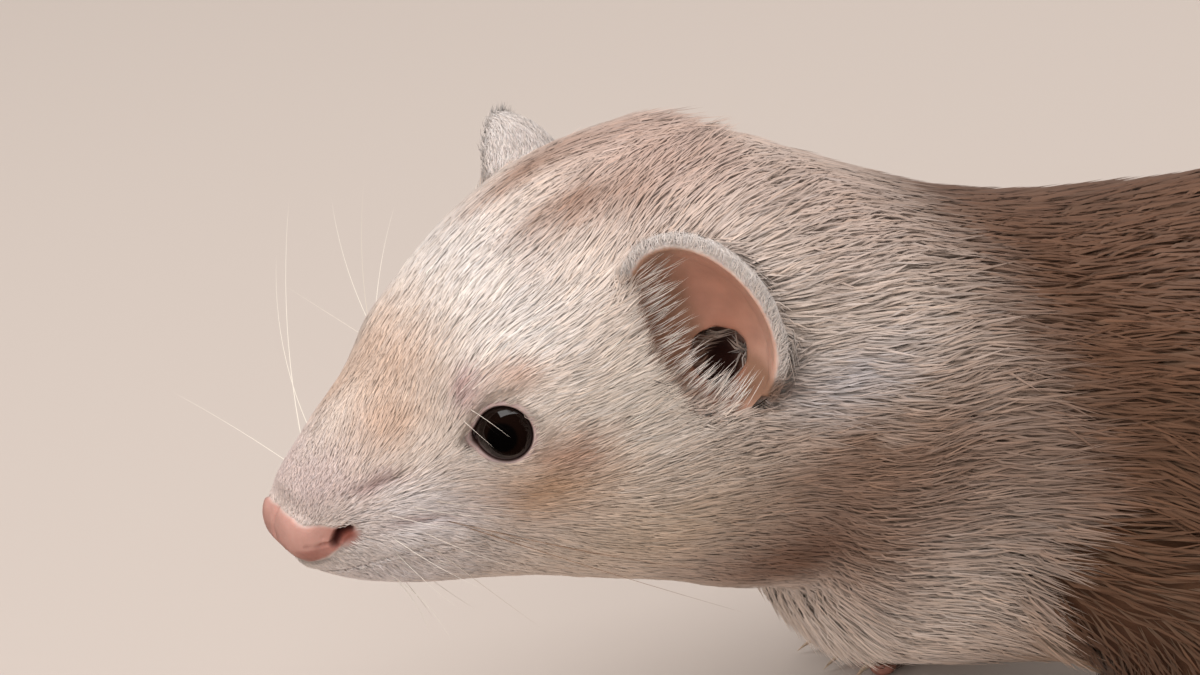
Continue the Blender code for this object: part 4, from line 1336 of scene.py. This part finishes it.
def leg_growth(points):
    """Length and radius of the hair on the legs and paws, and how thickly it grows."""
    look = settings("ferret_coat")
    steps = (0, 0.008, 0.02, 0.05)
    hair = (1.4 * MM, 2.2 * MM, look.leg_length, look.leg_length * 1.9)
    radii = np.interp(points[:, 2], steps, (0.09, 0.11, 0.18, 0.27)) * MM
    return np.interp(points[:, 2], steps, hair), radii, np.interp(points[:, 2], steps, (3.2, 2.8, 1.5, 0.9))


def tail_growth(points):
    """Length and radius of the hair on the tail, and how thickly it grows."""
    look = settings("ferret_coat")
    x = points[:, 0] - UNDER_CHEST.x
    lengths = look.tail_length * np.interp(x, (-0.27, -0.25, -0.2, -0.12), (0.35, 0.7, 1.0, 0.95))
    return lengths, np.full(len(points), 0.24 * MM), np.interp(x, (-0.27, -0.2), (2.2, 1.0))


def ear_growth(points):
    """Length and radius of the hair on the ears, longer at the rim."""
    ones = np.ones(len(points))
    bowl = np.linalg.norm(ear_bowl_place(points), axis=1)
    rim = np.exp(-(((bowl - 1.04) / 0.06) ** 2))
    return (1.3 + 0.9 * rim) * MM, 0.055 * MM * ones, 1 + 1.5 * rim


def torso_growth(points):
    """Length and radius of the hair on the torso."""
    look = settings("ferret_coat")
    ones = np.ones(len(points))
    belly = fade(points[:, 2], 0.032, 0.02)
    return look.body_length * (1 - 0.35 * belly), 0.3 * MM * ones, ones


CLEAR_OF_FLOOR = 0.45 * MM
LEAVE = 0.9 * MM  # gap to the skin past which a tuft goes straight on
LEADERS = 0.16  # share of the tufts that others are drawn to in locks
TINT_SPREAD = 0.1
PIECE_LIMIT = 196000  # triangles of one piece of coat

# Tufts of one and two rings: shares of the length, heights as shares of the coat's depth, and ring radii
TUFTS = {
    2: ((0, 0.4, 1), (0.85, 1.0), (1.0,)),
    3: ((0, 0.25, 0.62, 1), (0.6, 0.95, 1.0), (0.85, 0.8)),
}


def grow(ground, name, chosen, count, growth, steps, rng, material, slot, lift=1.0, sway=7, lock=0.4):
    """One piece of coat, or several, on the faces of the skin that are chosen."""
    _, _, thick = growth(ground.middles)
    weights = np.where(chosen & ~bare_places(ground.middles), thick, 0)
    roots, normals, outer, kinds = ground.scatter(weights, count, rng)
    keep = ~bare_places(outer)
    roots, normals, outer, kinds = roots[keep], normals[keep], outer[keep], kinds[keep]
    count = len(roots)
    lengths, radii, _ = growth(outer)
    lengths = lengths * rng.uniform(0.7, 1.2, count)
    radii = radii * rng.uniform(0.7, 1.25, count)
    ways = hair_lie(outer, kinds)
    drift = value_noise(outer, 5 * MM, 41.0) * 0.2
    ways = turned(ways, normals, np.radians(rng.normal(0, sway, count)) + drift)
    stand = np.maximum(coat_depth(outer, kinds), 0.14 * MM) * rng.uniform(0.45, 1.2, count) * lift
    shares, rises, thickness = TUFTS[steps]
    heights = np.stack([np.full(count, -0.05 * MM)] + [stand * rise for rise in rises], axis=1)
    paths = laid_paths(ground, roots, normals, ways, lengths, shares, heights, LEAVE)
    pull = rng.uniform(0.1, 1, count) * lock
    paths = gathered(paths, roots, rng, LEADERS, pull, 0.3 * lengths.mean())
    paths[:, :, 2] = np.maximum(paths[:, :, 2], CLEAR_OF_FLOOR)
    points = paths[:, 1:].reshape(-1, 3)
    clear = (eye_reach(points) > 1.04).reshape(count, -1).all(axis=1)
    local, _ = in_head(points)
    clear &= (nose_pad(local) < 0.6).reshape(count, -1).all(axis=1)
    base = coat_colours(outer, kinds)
    wool = np.array(settings("ferret_coat").undercoat)
    woolly = np.where(kinds >= NECK_KIND, 1.0, 0.3)[:, None]
    # Roots painted a fifth darker as painted shade among the hair.
    colours = strand_colours(base, base * (1 - woolly) + wool * woolly, 0.8, shares, rng, TINT_SPREAD)
    rings = radii[:, None] * np.array(thickness)[None]
    places = bake_places(outer, kinds)
    order = np.argsort(in_head(outer)[0][:, 0], kind="stable")
    order = order[clear[order]]
    pieces = math.ceil(len(order) * 6 * (steps - 1) / PIECE_LIMIT)
    for k, part in enumerate(np.array_split(order, pieces)):
        label = name if pieces == 1 else f"{name}_{k + 1}"
        piece = spikes(label, paths[part], normals[part], rings[part], colours[part], places[part], material)


def ear_fringe(ground, side, name, count, rng, material):
    """Long soft hair from the front edge of an ear, standing across its opening."""
    look = settings("ferret_coat")
    edge = np.array(EAR_EDGE, float)
    hand = np.full(count, side)
    at = rng.uniform(0, len(edge) - 1.001, count)
    low = at.astype(int)
    start = edge[low] + (edge[low + 1] - edge[low]) * (at - low)[:, None]
    stray = rng.normal(0, 0.6, (count, 3))
    start += stray + np.array(SEEN_RIGHT) * rng.uniform(-3.0, 6.0, (count, 1)) * rng.random((count, 1))
    back = head_to_world(np.tile(np.array(SEEN_BACK), (count, 1)), hand)
    world = head_to_world(start * UNIT, hand) + HEAD_ORIGIN + back * 12 * MM
    found = [ground.tree.ray_cast(p, -b) for p, b in zip(world, back)]
    hit = np.array([f[0] is not None for f in found])
    roots = np.array([f[0] if f[0] is not None else (0, 0, 0) for f in found])
    down = at / (len(edge) - 1)
    way = np.stack([np.interp(down, (0, 0.5, 1), rows) for rows in FRINGE_WAYS], axis=1)
    way = head_to_world(unit(way + rng.normal(0, 0.1, (count, 3))), hand)
    out = head_to_world(np.tile(np.array(FRINGE_RISES), (count, 1)), hand)
    long = rng.uniform(3.0, 6.5, count) * MM
    rise = rng.uniform(0.15, 0.6, count)
    steps = [roots - back * 0.3 * MM]
    for t in (1, 2, 3):
        lifted = unit(way + out * (rise * (1.2 - 0.4 * t))[:, None])
        steps.append(steps[-1] + lifted * (long / 3)[:, None])
    paths = np.stack(steps, axis=1)
    radii = rng.uniform(0.04, 0.055, count)[:, None] * MM * np.array((0.9, 0.8))[None]
    base = mix(look.cream, look.snow, rng.random(count))
    # Painted shade: the fringe's roots take the dark brown of the shaded front of the opening, and are
    # darkened further.
    ground_tint = np.tile(np.array(look.before_ear_painted_shade), (count, 1))
    colours = strand_colours(base * 1.05, ground_tint, 0.9, TUFTS[3][0], rng, 0.12)
    places = bake_places(roots, np.zeros(count, int))
    made = spikes(name, paths[hit], out[hit], radii[hit], colours[hit], places[hit], material)


# The fringe's ways in the head's frame, x, y and z each from the top of the ear to its foot, and its rise
FRINGE_WAYS = ((-0.80, -0.84, -0.70), (0.30, 0.38, 0.12), (0.48, 0.36, 0.70))
FRINGE_RISES = SEEN_BACK


FACE_END = 44  # where the face's hair gives way to the crown's, along the head


class FERRET_OT_coat(bpy.types.Operator):
    """Solid tufts of hair over the whole skin, following the lie of the coat."""

    bl_idname = "ferret.coat"
    bl_label = "Coat"

    def execute(self, context):
        look = settings("ferret_coat")
        ground = Ground(bpy.data.objects["skin"])
        rng = np.random.default_rng(look.seed)
        hair = hair_material()
        kinds = ground.face_kinds
        local, side = in_head(ground.middles)

        def coat(name, chosen, count, growth, steps=2, slot="coat", **lie):
            grow(ground, "coat_" + name, chosen, count, growth, steps, rng, hair, slot, **lie)

        head, face = kinds == HEAD_KIND, local[:, 0] > FACE_END
        pale = {"slot": "pale_coat"}
        for hand, name in ((1, "left"), (-1, "right")):
            near = head & (side == hand)
            coat("face_" + name, near & face, look.face_tufts // 2, face_growth, **pale, lock=0.15, sway=6)
            coat("crown_" + name, near & ~face, look.head_tufts // 2, face_growth, **pale, lock=0.35)
            ear_fringe(ground, hand, "ear_fringe_" + name, look.fringe_tufts, rng, hair)
        ears = kinds == EAR_KIND
        coat("ears", ears, look.ear_tufts, ear_growth, **pale, lift=1.6, sway=14, lock=0.1)
        coat("neck", kinds == NECK_KIND, look.neck_tufts, neck_growth, lock=0.25)
        coat("torso", kinds == TORSO_KIND, look.body_tufts, torso_growth, lock=0.3)
        legs = (kinds == FORE_KIND) | (kinds == HIND_KIND)
        coat("legs", legs, look.leg_tufts, leg_growth)
        coat("tail", kinds == TAIL_KIND, look.tail_tufts, tail_growth, steps=3)
        return {"FINISHED"}


# Eyes, lids and nose


def ring_loft(rings, closed=False):
    """A bmesh tube through rings of points; closed joins its ends, otherwise they are filled."""
    bm = bmesh.new()
    count = len(rings[0])
    first = bmesh.ops.create_circle(bm, segments=count, radius=1)["verts"]
    for vert, point in zip(first, rings[0]):
        vert.co = point
    ring = list(first)
    for points in rings[1:]:
        edges = [bm.edges.get((ring[k], ring[k - 1])) for k in range(count)]
        grown = bmesh.ops.extrude_edge_only(bm, edges=edges)["geom"]
        new = {v for v in grown if isinstance(v, bmesh.types.BMVert)}
        ring = [next(e.other_vert(v) for e in v.link_edges if e.other_vert(v) in new) for v in ring]
        for vert, point in zip(ring, points):
            vert.co = point
    loops = [[bm.edges.get((r[k], r[k - 1])) for k in range(count)] for r in (first, ring)]
    if closed:
        bmesh.ops.bridge_loops(bm, edges=loops[0] + loops[1])
    else:
        for loop in loops:
            bmesh.ops.edgeloop_fill(bm, edges=loop)
    bmesh.ops.recalc_face_normals(bm, faces=bm.faces)
    return bm


class FERRET_OT_eyes(bpy.types.Operator):
    """Two eyeballs with dark irises under a glossy cornea, and the bare rims of their lids."""

    bl_idname = "ferret.eyes"
    bl_label = "Eyes and lids"

    def execute(self, context):
        look = settings("ferret_eye")
        wet = self.eye_material(look)
        lid = skin_material()
        lid.name = "eyelid_skin"
        for side, hand in ((1, "left"), (-1, "right")):
            self.ball("eyeball_" + hand, "eye_" + hand, side, look, wet)
            self.lids("lids_" + hand, side, lid)
        return {"FINISHED"}

    def eye_material(self, look):
        """Eye: wet cornea over a near-black iris, so one sharp reflection over depth."""
        material, tree, shader = new_material("eye_cornea", Roughness=0.03, Specular_IOR_Level=0.4)
        angle = add_node(tree, "ShaderNodeAttribute", attribute_name="from_pole")
        ramp = add_node(tree, "ShaderNodeValToRGB", [("Fac", angle.outputs["Fac"])])
        steps = [
            (0.0, look.pupil),
            (0.13, look.pupil),
            (0.16, look.iris),
            (0.30, look.iris),
            (0.36, [c * 2.2 for c in look.iris]),
        ]
        for k, (at, tint) in enumerate(steps):
            element = ramp.color_ramp.elements[k] if k < 2 else ramp.color_ramp.elements.new(at)
            element.position = at
            element.color = (*tint, 1)
        tree.links.new(ramp.outputs["Color"], shader.inputs["Base Color"])
        return material

    def ball(self, name, node, side, look, material):
        """One eyeball, its pole on the axis that it faces."""
        centre, faces, _, _ = eye_frame(side)
        bm = bmesh.new()
        bmesh.ops.create_uvsphere(bm, u_segments=64, v_segments=48, radius=1)
        angles = [v.co.angle(Vector((0, 0, 1)), 0) / math.pi for v in bm.verts]
        for vert, angle in zip(bm.verts, angles):
            bulge = look.cornea * max(0.0, math.cos(min(angle / 0.36, 1) * math.pi / 2)) ** 1.3
            vert.co *= look.radius * 0.99 + bulge * 0.5
        place = Matrix.Translation(centre) @ faces.to_track_quat("Z", "Y").to_matrix().to_4x4()
        bmesh.ops.transform(bm, matrix=place, verts=bm.verts)
        obj = to_object(name, bm, material)
        note(obj.data, "from_pole", np.array(angles))
        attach(obj, "root")
        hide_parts(node)

    def lids(self, name, side, material):
        """The rim of the lids: a soft ring round the opening, hollow at its front corner."""
        look = settings("ferret_skin")
        centre, faces, forward, up = eye_frame(side)
        rings = []
        for number, (scale, rise) in enumerate(LID_PROFILE):
            ring = []
            for k in range(96):
                angle = 2 * math.pi * k / 96
                turn = math.remainder(angle, 2 * math.pi)
                across, above, edge = opening_edge(turn)
                corner = math.exp(-((turn / TEAR_DUCT_SPREAD) ** 2))
                top = max(0.0, math.sin(angle))
                swell = 0.10 * top * math.exp(-(((scale - 1.09) / 0.06) ** 2))
                crinkle = 0.02 * math.sin(23 * angle) * math.sin(7 * angle + number)
                out = edge + rise + swell + crinkle - 0.5 * corner * (scale < 1.02)
                ring.append(centre + (forward * across * scale + up * above * scale + faces * out) * MM)
            rings.append(ring)
        obj = to_object(name, ring_loft(rings, closed=True), material)
        points = points_of(obj.data)
        reach = eye_reach(points)
        tints = mix(look.lid_pink, look.lid_dark, 1 - fade(reach, 0.99, 1.035))
        # Painted shade: towards its outside the lid takes the coat's colour darkened by a fifth.
        tints = mix(tints, coat_colours(points, np.zeros(len(points), int)) * 0.8, fade(reach, 1.12, 1.3))
        paint(obj.data, "skin_colour", np.clip(tints, 0, 1))
        note(obj.data, "bare", np.ones(len(points)))
        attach(obj, "root")


class FERRET_OT_claws(bpy.types.Operator):
    """Twenty claws, and the pads under the paws."""

    bl_idname = "ferret.claws"
    bl_label = "Claws and pads"

    def execute(self, context):
        look = settings("ferret_skin")
        horn = plain_material(
            "claw_horn",
            look.claw,
            Roughness=0.3,
            Specular_IOR_Level=0.5,
            Subsurface_Weight=0.1,
            Subsurface_Scale=0.0005,
        )
        leather = plain_material("pad_leather", look.pad, Roughness=0.6, Specular_IOR_Level=0.35)
        for leg, paw in PAWS.items():
            for side, hand in ((1, "left"), (-1, "right")):
                claws, pads = bmesh.new(), bmesh.new()
                for toe in range(TOES):
                    self.toe(claws, pads, paw, toe, side)
                palm = Vector((paw[0] + 0.001, paw[1] * side, 0.0013))
                self.pad(pads, palm, (paw[2] * 0.62, paw[3] * 0.72, 0.0016), 0)
                for name, bm, material in (("claws", claws, horn), ("pads", pads, leather)):
                    bmesh.ops.translate(bm, verts=bm.verts, vec=UNDER_CHEST)
                    obj = to_object(f"{name}_{leg}_{hand}", bm, material)
                    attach(obj, "root")
        return {"FINISHED"}

    def toe(self, claws, pads, paw, toe, side):
        """The claw and pad of one toe, at the place that the part's source gives it."""
        x, y, palm_length, half_width, reach, radius = paw
        place = toe - (TOES - 1) / 2
        angle = place * TOE_FAN * side
        long = reach * (1 - abs(place) / TOES)
        ahead = Vector((math.cos(angle), math.sin(angle), 0))
        root = Vector((x + palm_length * TOE_ROOT, (y + place * half_width * TOE_SPACING) * side, 0))
        knuckle = root + ahead * long / 2 + Vector((0, 0, radius * 0.9))
        across = ahead.cross(Vector((0, 0, 1)))
        base = knuckle + ahead * (long / 2 - CLAW_RADIUS * 2.2)
        rings = []
        for step in range(9):
            t = step / 8
            arch = Vector((0, 0, CLAW_ARCH * math.sin(math.pi * t) - CLAW_DROP * t * t))
            size = CLAW_RADIUS * (1.05 - 0.98 * t**1.3)
            middle = base + ahead * (CLAW_LENGTH * 1.15) * t + arch
            ring = []
            for k in range(10):
                turn = 2 * math.pi * k / 10
                deep = 1.15 if math.sin(turn) < 0 else 1.0
                rise = Vector((0, 0, math.sin(turn) * size * deep))
                ring.append(middle + across * math.cos(turn) * size * 0.62 + rise)
            rings.append(ring)
        one = ring_loft(rings)
        holder = bpy.data.meshes.new("holder")
        one.to_mesh(holder)
        one.free()
        claws.from_mesh(holder)
        bpy.data.meshes.remove(holder)
        under = knuckle + ahead * long * 0.22 - Vector((0, 0, radius * 0.9 - 0.0012))
        self.pad(pads, under, TOE_PAD, angle)

    def pad(self, bm, centre, size, angle):
        """One pad, flat where it meets the floor."""
        made = bmesh.ops.create_uvsphere(bm, u_segments=18, v_segments=12, radius=1)["verts"]
        place = Matrix.Translation(centre) @ Matrix.Rotation(angle, 4, "Z") @ Matrix.Diagonal((*size, 1))
        bmesh.ops.transform(bm, matrix=place, verts=made)
        for vert in made:
            vert.co.z = max(vert.co.z, 0.0001)


# Whiskers: root on the left of the head, way at the root and at the tip, length in millimetres, darkness and
# which side has it: 1 the left, -1 the right, 0 both
WHISKERS = [
    ((80, 17, -14), (-0.35, 0.60, -0.10), (-0.70, 0.40, -0.30), 12, 0.1, 0),
    ((76, 19, -13), (-0.55, 0.55, -0.15), (-0.85, 0.30, -0.30), 15, 0.2, 0),
    ((71, 21, -13), (-0.60, 0.55, -0.15), (-0.90, 0.25, -0.35), 18, 0.5, 0),
    ((81, 17, -18), (-0.35, 0.55, -0.50), (-0.70, 0.25, -0.70), 14, 0.0, 0),
    ((76, 19, -18), (-0.50, 0.55, -0.45), (-0.80, 0.25, -0.55), 20, 0.3, 0),
    ((70, 22, -18), (-0.66, 0.60, -0.30), (-0.85, 0.30, -0.45), 30, 0.9, 0),
    ((66, 23, -21), (-0.66, 0.62, -0.32), (-0.80, 0.35, -0.48), 36, 1.0, 0),
    ((61, 24, -24), (-0.69, 0.65, -0.28), (-0.86, 0.30, -0.38), 32, 1.0, 0),
    ((58, 25, -27), (-0.66, 0.60, -0.35), (-0.80, 0.35, -0.50), 24, 0.8, 0),
    ((80, 17, -22), (-0.30, 0.40, -0.80), (-0.50, 0.20, -0.85), 13, 0.0, 0),
    ((73, 20, -23), (-0.50, 0.45, -0.65), (-0.60, 0.20, -0.75), 20, 0.6, 0),
    ((82, 14, -31), (-0.50, 0.60, -0.55), (-0.10, 0.40, -0.90), 13, 0.0, 0),
    ((79, 12, -34), (-0.35, 0.50, -0.70), (0.05, 0.30, -0.95), 9, 0.0, 0),
    ((76, 10, -37), (-0.35, 0.30, -0.85), (-0.30, 0.10, -0.95), 8, 0.5, 0),
    ((70, 10, -40), (-0.50, 0.30, -0.80), (-0.60, 0.10, -0.80), 9, 0.2, 0),
    ((84, 14, -9), (-0.25, 0.60, 0.50), (-0.49, 0.50, 0.60), 32, 0.0, -1),
    ((80, 16, -9), (-0.10, 0.75, 0.40), (-0.40, 0.60, 0.45), 26, 0.0, -1),
    ((86, 13, -14), (0.40, 0.83, 0.38), (0.42, 0.87, 0.24), 21, 0.0, -1),
    ((57, 22, 8), (-0.05, 0.70, 0.65), (-0.30, 0.60, 0.60), 17, 0.0, -1),
    ((58, 21, 9), (-0.30, 0.60, 0.65), (-0.50, 0.50, 0.60), 19, 0.3, -1),
    ((56, 22, 10), (-0.45, 0.50, 0.70), (-0.60, 0.40, 0.60), 15, 0.0, -1),
    ((60, 21, 7), (0.34, 0.80, 0.30), (0.20, 0.90, 0.10), 14, 0.2, -1),
    ((58.6, 22.4, 4.0), (-0.05, 0.90, -0.10), (-0.35, 0.75, -0.55), 6.0, 0.0, 1),
    ((57.0, 23.4, 6.5), (-0.15, 0.90, -0.05), (-0.40, 0.75, -0.55), 7.5, 0.0, 1),
    ((58, 21, 9), (-0.20, 0.60, 0.70), (-0.60, 0.50, 0.50), 8, 0.0, 1),
    ((56, 22, 9), (-0.45, 0.55, 0.60), (-0.80, 0.40, 0.35), 9, 0.1, 1),
    ((34, 40, -24), (-0.60, 0.55, -0.40), (-0.80, 0.25, -0.45), 12, 0.3, 0),
    ((30, 41, -27), (-0.70, 0.50, -0.45), (-0.80, 0.25, -0.50), 13, 0.6, 0),
]
WHISKER_STEPS = 12


class FERRET_OT_whiskers(bpy.types.Operator):
    """Whiskers on muzzle, brows, cheeks and chin, each thick at the root and fine at the tip."""

    bl_idname = "ferret.whiskers"
    bl_label = "Whiskers"

    def execute(self, context):
        look = settings("ferret_whisker")
        ground = Ground(bpy.data.objects["skin"])
        rng = np.random.default_rng(5)
        material = hair_material()
        material.name = "whisker_keratin"
        material.node_tree.nodes["Principled BSDF"].inputs["Roughness"].default_value = 0.35
        rows, radii, tints, roots = [], [], [], []
        turn = HEAD_FRAME.to_3x3()
        for side in (1, -1):
            for root, way, tip_way, long, dark, only in WHISKERS:
                if only not in (0, side):
                    continue
                mirror = Vector((1, side, 1))
                start = HEAD_FRAME @ (Vector(root) * mirror * UNIT)
                start = ground.tree.find_nearest(start)[0]
                chance = Vector(rng.normal(0, 0.03, 3))
                first = (turn @ (Vector(way) * mirror).normalized() + chance).normalized()
                last = (turn @ (Vector(tip_way) * mirror).normalized() + chance).normalized()
                reach = long * MM * rng.uniform(0.94, 1.06)
                path = [start - first * 0.3 * MM]
                for step in range(WHISKER_STEPS):
                    heading = first.lerp(last, step / (WHISKER_STEPS - 1)).normalized()
                    path.append(path[-1] + heading * reach / WHISKER_STEPS)
                rows.append(path)
                roots.append(start)
                radii.append(look.radius * (0.45 + 0.55 * min(long / 30, 1)))
                tints.append(mix(look.pale, look.dark, dark))
        paths = np.array([[list(p) for p in path] for path in rows])
        radii = np.array(radii)[:, None] * np.linspace(1, 0.2, WHISKER_STEPS - 1)[None]
        colours = np.tile(np.array(tints)[:, None], (1, WHISKER_STEPS + 1, 1))
        ups = np.tile(np.array((0.2, 0.1, 1.0)), (len(paths), 1))
        places = bake_places(np.array([list(p) for p in roots]), np.zeros(len(roots), int))
        made = spikes("whiskers", paths, unit(ups), radii, colours, places, material)
        return {"FINISHED"}


# Stage

CAMERA_AT = (0.2401, 0.3794, 0.2691)
CAMERA_TURN = (62.793, 0.896, 168.306)  # degrees, as found from the eye, ear and nose in the photograph
LENS = 100


def area_light(name, at, target, size, power, tint, mirrored):
    """A soft light, wider than high, that faces a point; mirrored is whether shiny surfaces show it."""
    data = bpy.data.lights.new(name, "AREA")
    data.shape = "RECTANGLE"
    data.size, data.size_y = size
    data.energy = power
    data.color = tint
    light = bpy.data.objects.new(name, data)
    light.location = at
    light.rotation_euler = (Vector(target) - Vector(at)).to_track_quat("-Z", "Y").to_euler()
    light.visible_glossy = mirrored
    bpy.context.scene.collection.objects.link(light)


class FERRET_OT_stage(bpy.types.Operator):
    """Plain pale floor, soft studio light and the camera."""

    bl_idname = "ferret.stage"
    bl_label = "Stage"

    def execute(self, context):
        look = settings("ferret_stage")
        bm = bmesh.new()
        bmesh.ops.create_grid(bm, x_segments=1, y_segments=1, size=4)
        paper, _, shader = new_material("floor_paper", Roughness=0.85, Specular_IOR_Level=0.2)
        shader.inputs["Base Color"].default_value = (*look.floor, 1)
        floor = to_object("floor", bm, paper)
        floor.visible_glossy = False
        data = bpy.data.cameras.new("camera")
        data.lens = LENS
        data.sensor_width = 36
        data.clip_start = 0.01
        camera = bpy.data.objects.new("camera", data)
        camera.location = CAMERA_AT
        camera.rotation_euler = [math.radians(a) for a in CAMERA_TURN]
        context.scene.collection.objects.link(camera)
        context.scene.camera = camera
        view = camera.rotation_euler.to_matrix()
        face = HEAD_FRAME @ (Vector((40, 10, 0)) * UNIT)

        def beside(right, up, back):
            return face + view @ Vector((right, up, back))

        area_light("key", beside(0.0, 0.78, 0.45), face, (1.0, 0.5), look.key, (1.0, 0.98, 0.97), True)
        area_light("fill", beside(-0.3, 0.25, 0.9), face, (0.8, 0.8), look.fill, (1.0, 0.97, 0.94), False)
        area_light("rim", beside(0.5, 0.7, -0.4), face, (0.6, 0.6), look.rim, (1.0, 0.97, 0.94), False)
        world = bpy.data.worlds.new("sky")
        world.use_nodes = True
        sky = world.node_tree.nodes["Background"]
        sky.inputs["Color"].default_value = (*linear("#fbf3ea"), 1)
        sky.inputs["Strength"].default_value = look.sky
        world.cycles_visibility.glossy = False
        context.scene.world = world
        context.scene.view_settings.view_transform = "Standard"
        return {"FINISHED"}


class FERRET_PT_panel(bpy.types.Panel):
    """Lists the ferret's settings and the steps that build it."""

    bl_idname = "FERRET_PT_panel"
    bl_label = "Museum ferret"
    bl_space_type = "VIEW_3D"
    bl_region_type = "UI"
    bl_category = "Ferret"

    def draw(self, context):
        for group in GROUPS:
            box = self.layout.box()
            box.label(text=group.replace("_", " "))
            holder = getattr(context.scene, group)
            for name in holder.__annotations__:
                box.prop(holder, name)
        for step in STEPS:
            self.layout.operator(step.bl_idname)


GROUPS = {
    "ferret_coat": FerretCoatSettings,
    "ferret_skin": FerretSkinSettings,
    "ferret_eye": FerretEyeSettings,
    "ferret_whisker": FerretWhiskerSettings,
    "ferret_stage": FerretStageSettings,
}
STEPS = [
    FERRET_OT_skin,
    FERRET_OT_eyes,
    FERRET_OT_claws,
    FERRET_OT_coat,
    FERRET_OT_whiskers,
    FERRET_OT_stage,
]


def register():
    """Registers the classes and hangs the settings on the scene."""
    for name, group in GROUPS.items():
        bpy.utils.register_class(group)
        setattr(bpy.types.Scene, name, PointerProperty(type=group))
    for item in STEPS + [FERRET_PT_panel]:
        bpy.utils.register_class(item)


def unregister():
    """Undoes register."""
    for item in reversed(STEPS + [FERRET_PT_panel]):
        bpy.utils.unregister_class(item)
    for name, group in reversed(list(GROUPS.items())):
        delattr(bpy.types.Scene, name)
        bpy.utils.unregister_class(group)


def main():
    """Builds the ferret."""
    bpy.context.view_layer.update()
    register()
    for item in STEPS:
        group, step = item.bl_idname.split(".")
        getattr(getattr(bpy.ops, group), step)()


if __name__ == "__main__":
    main()
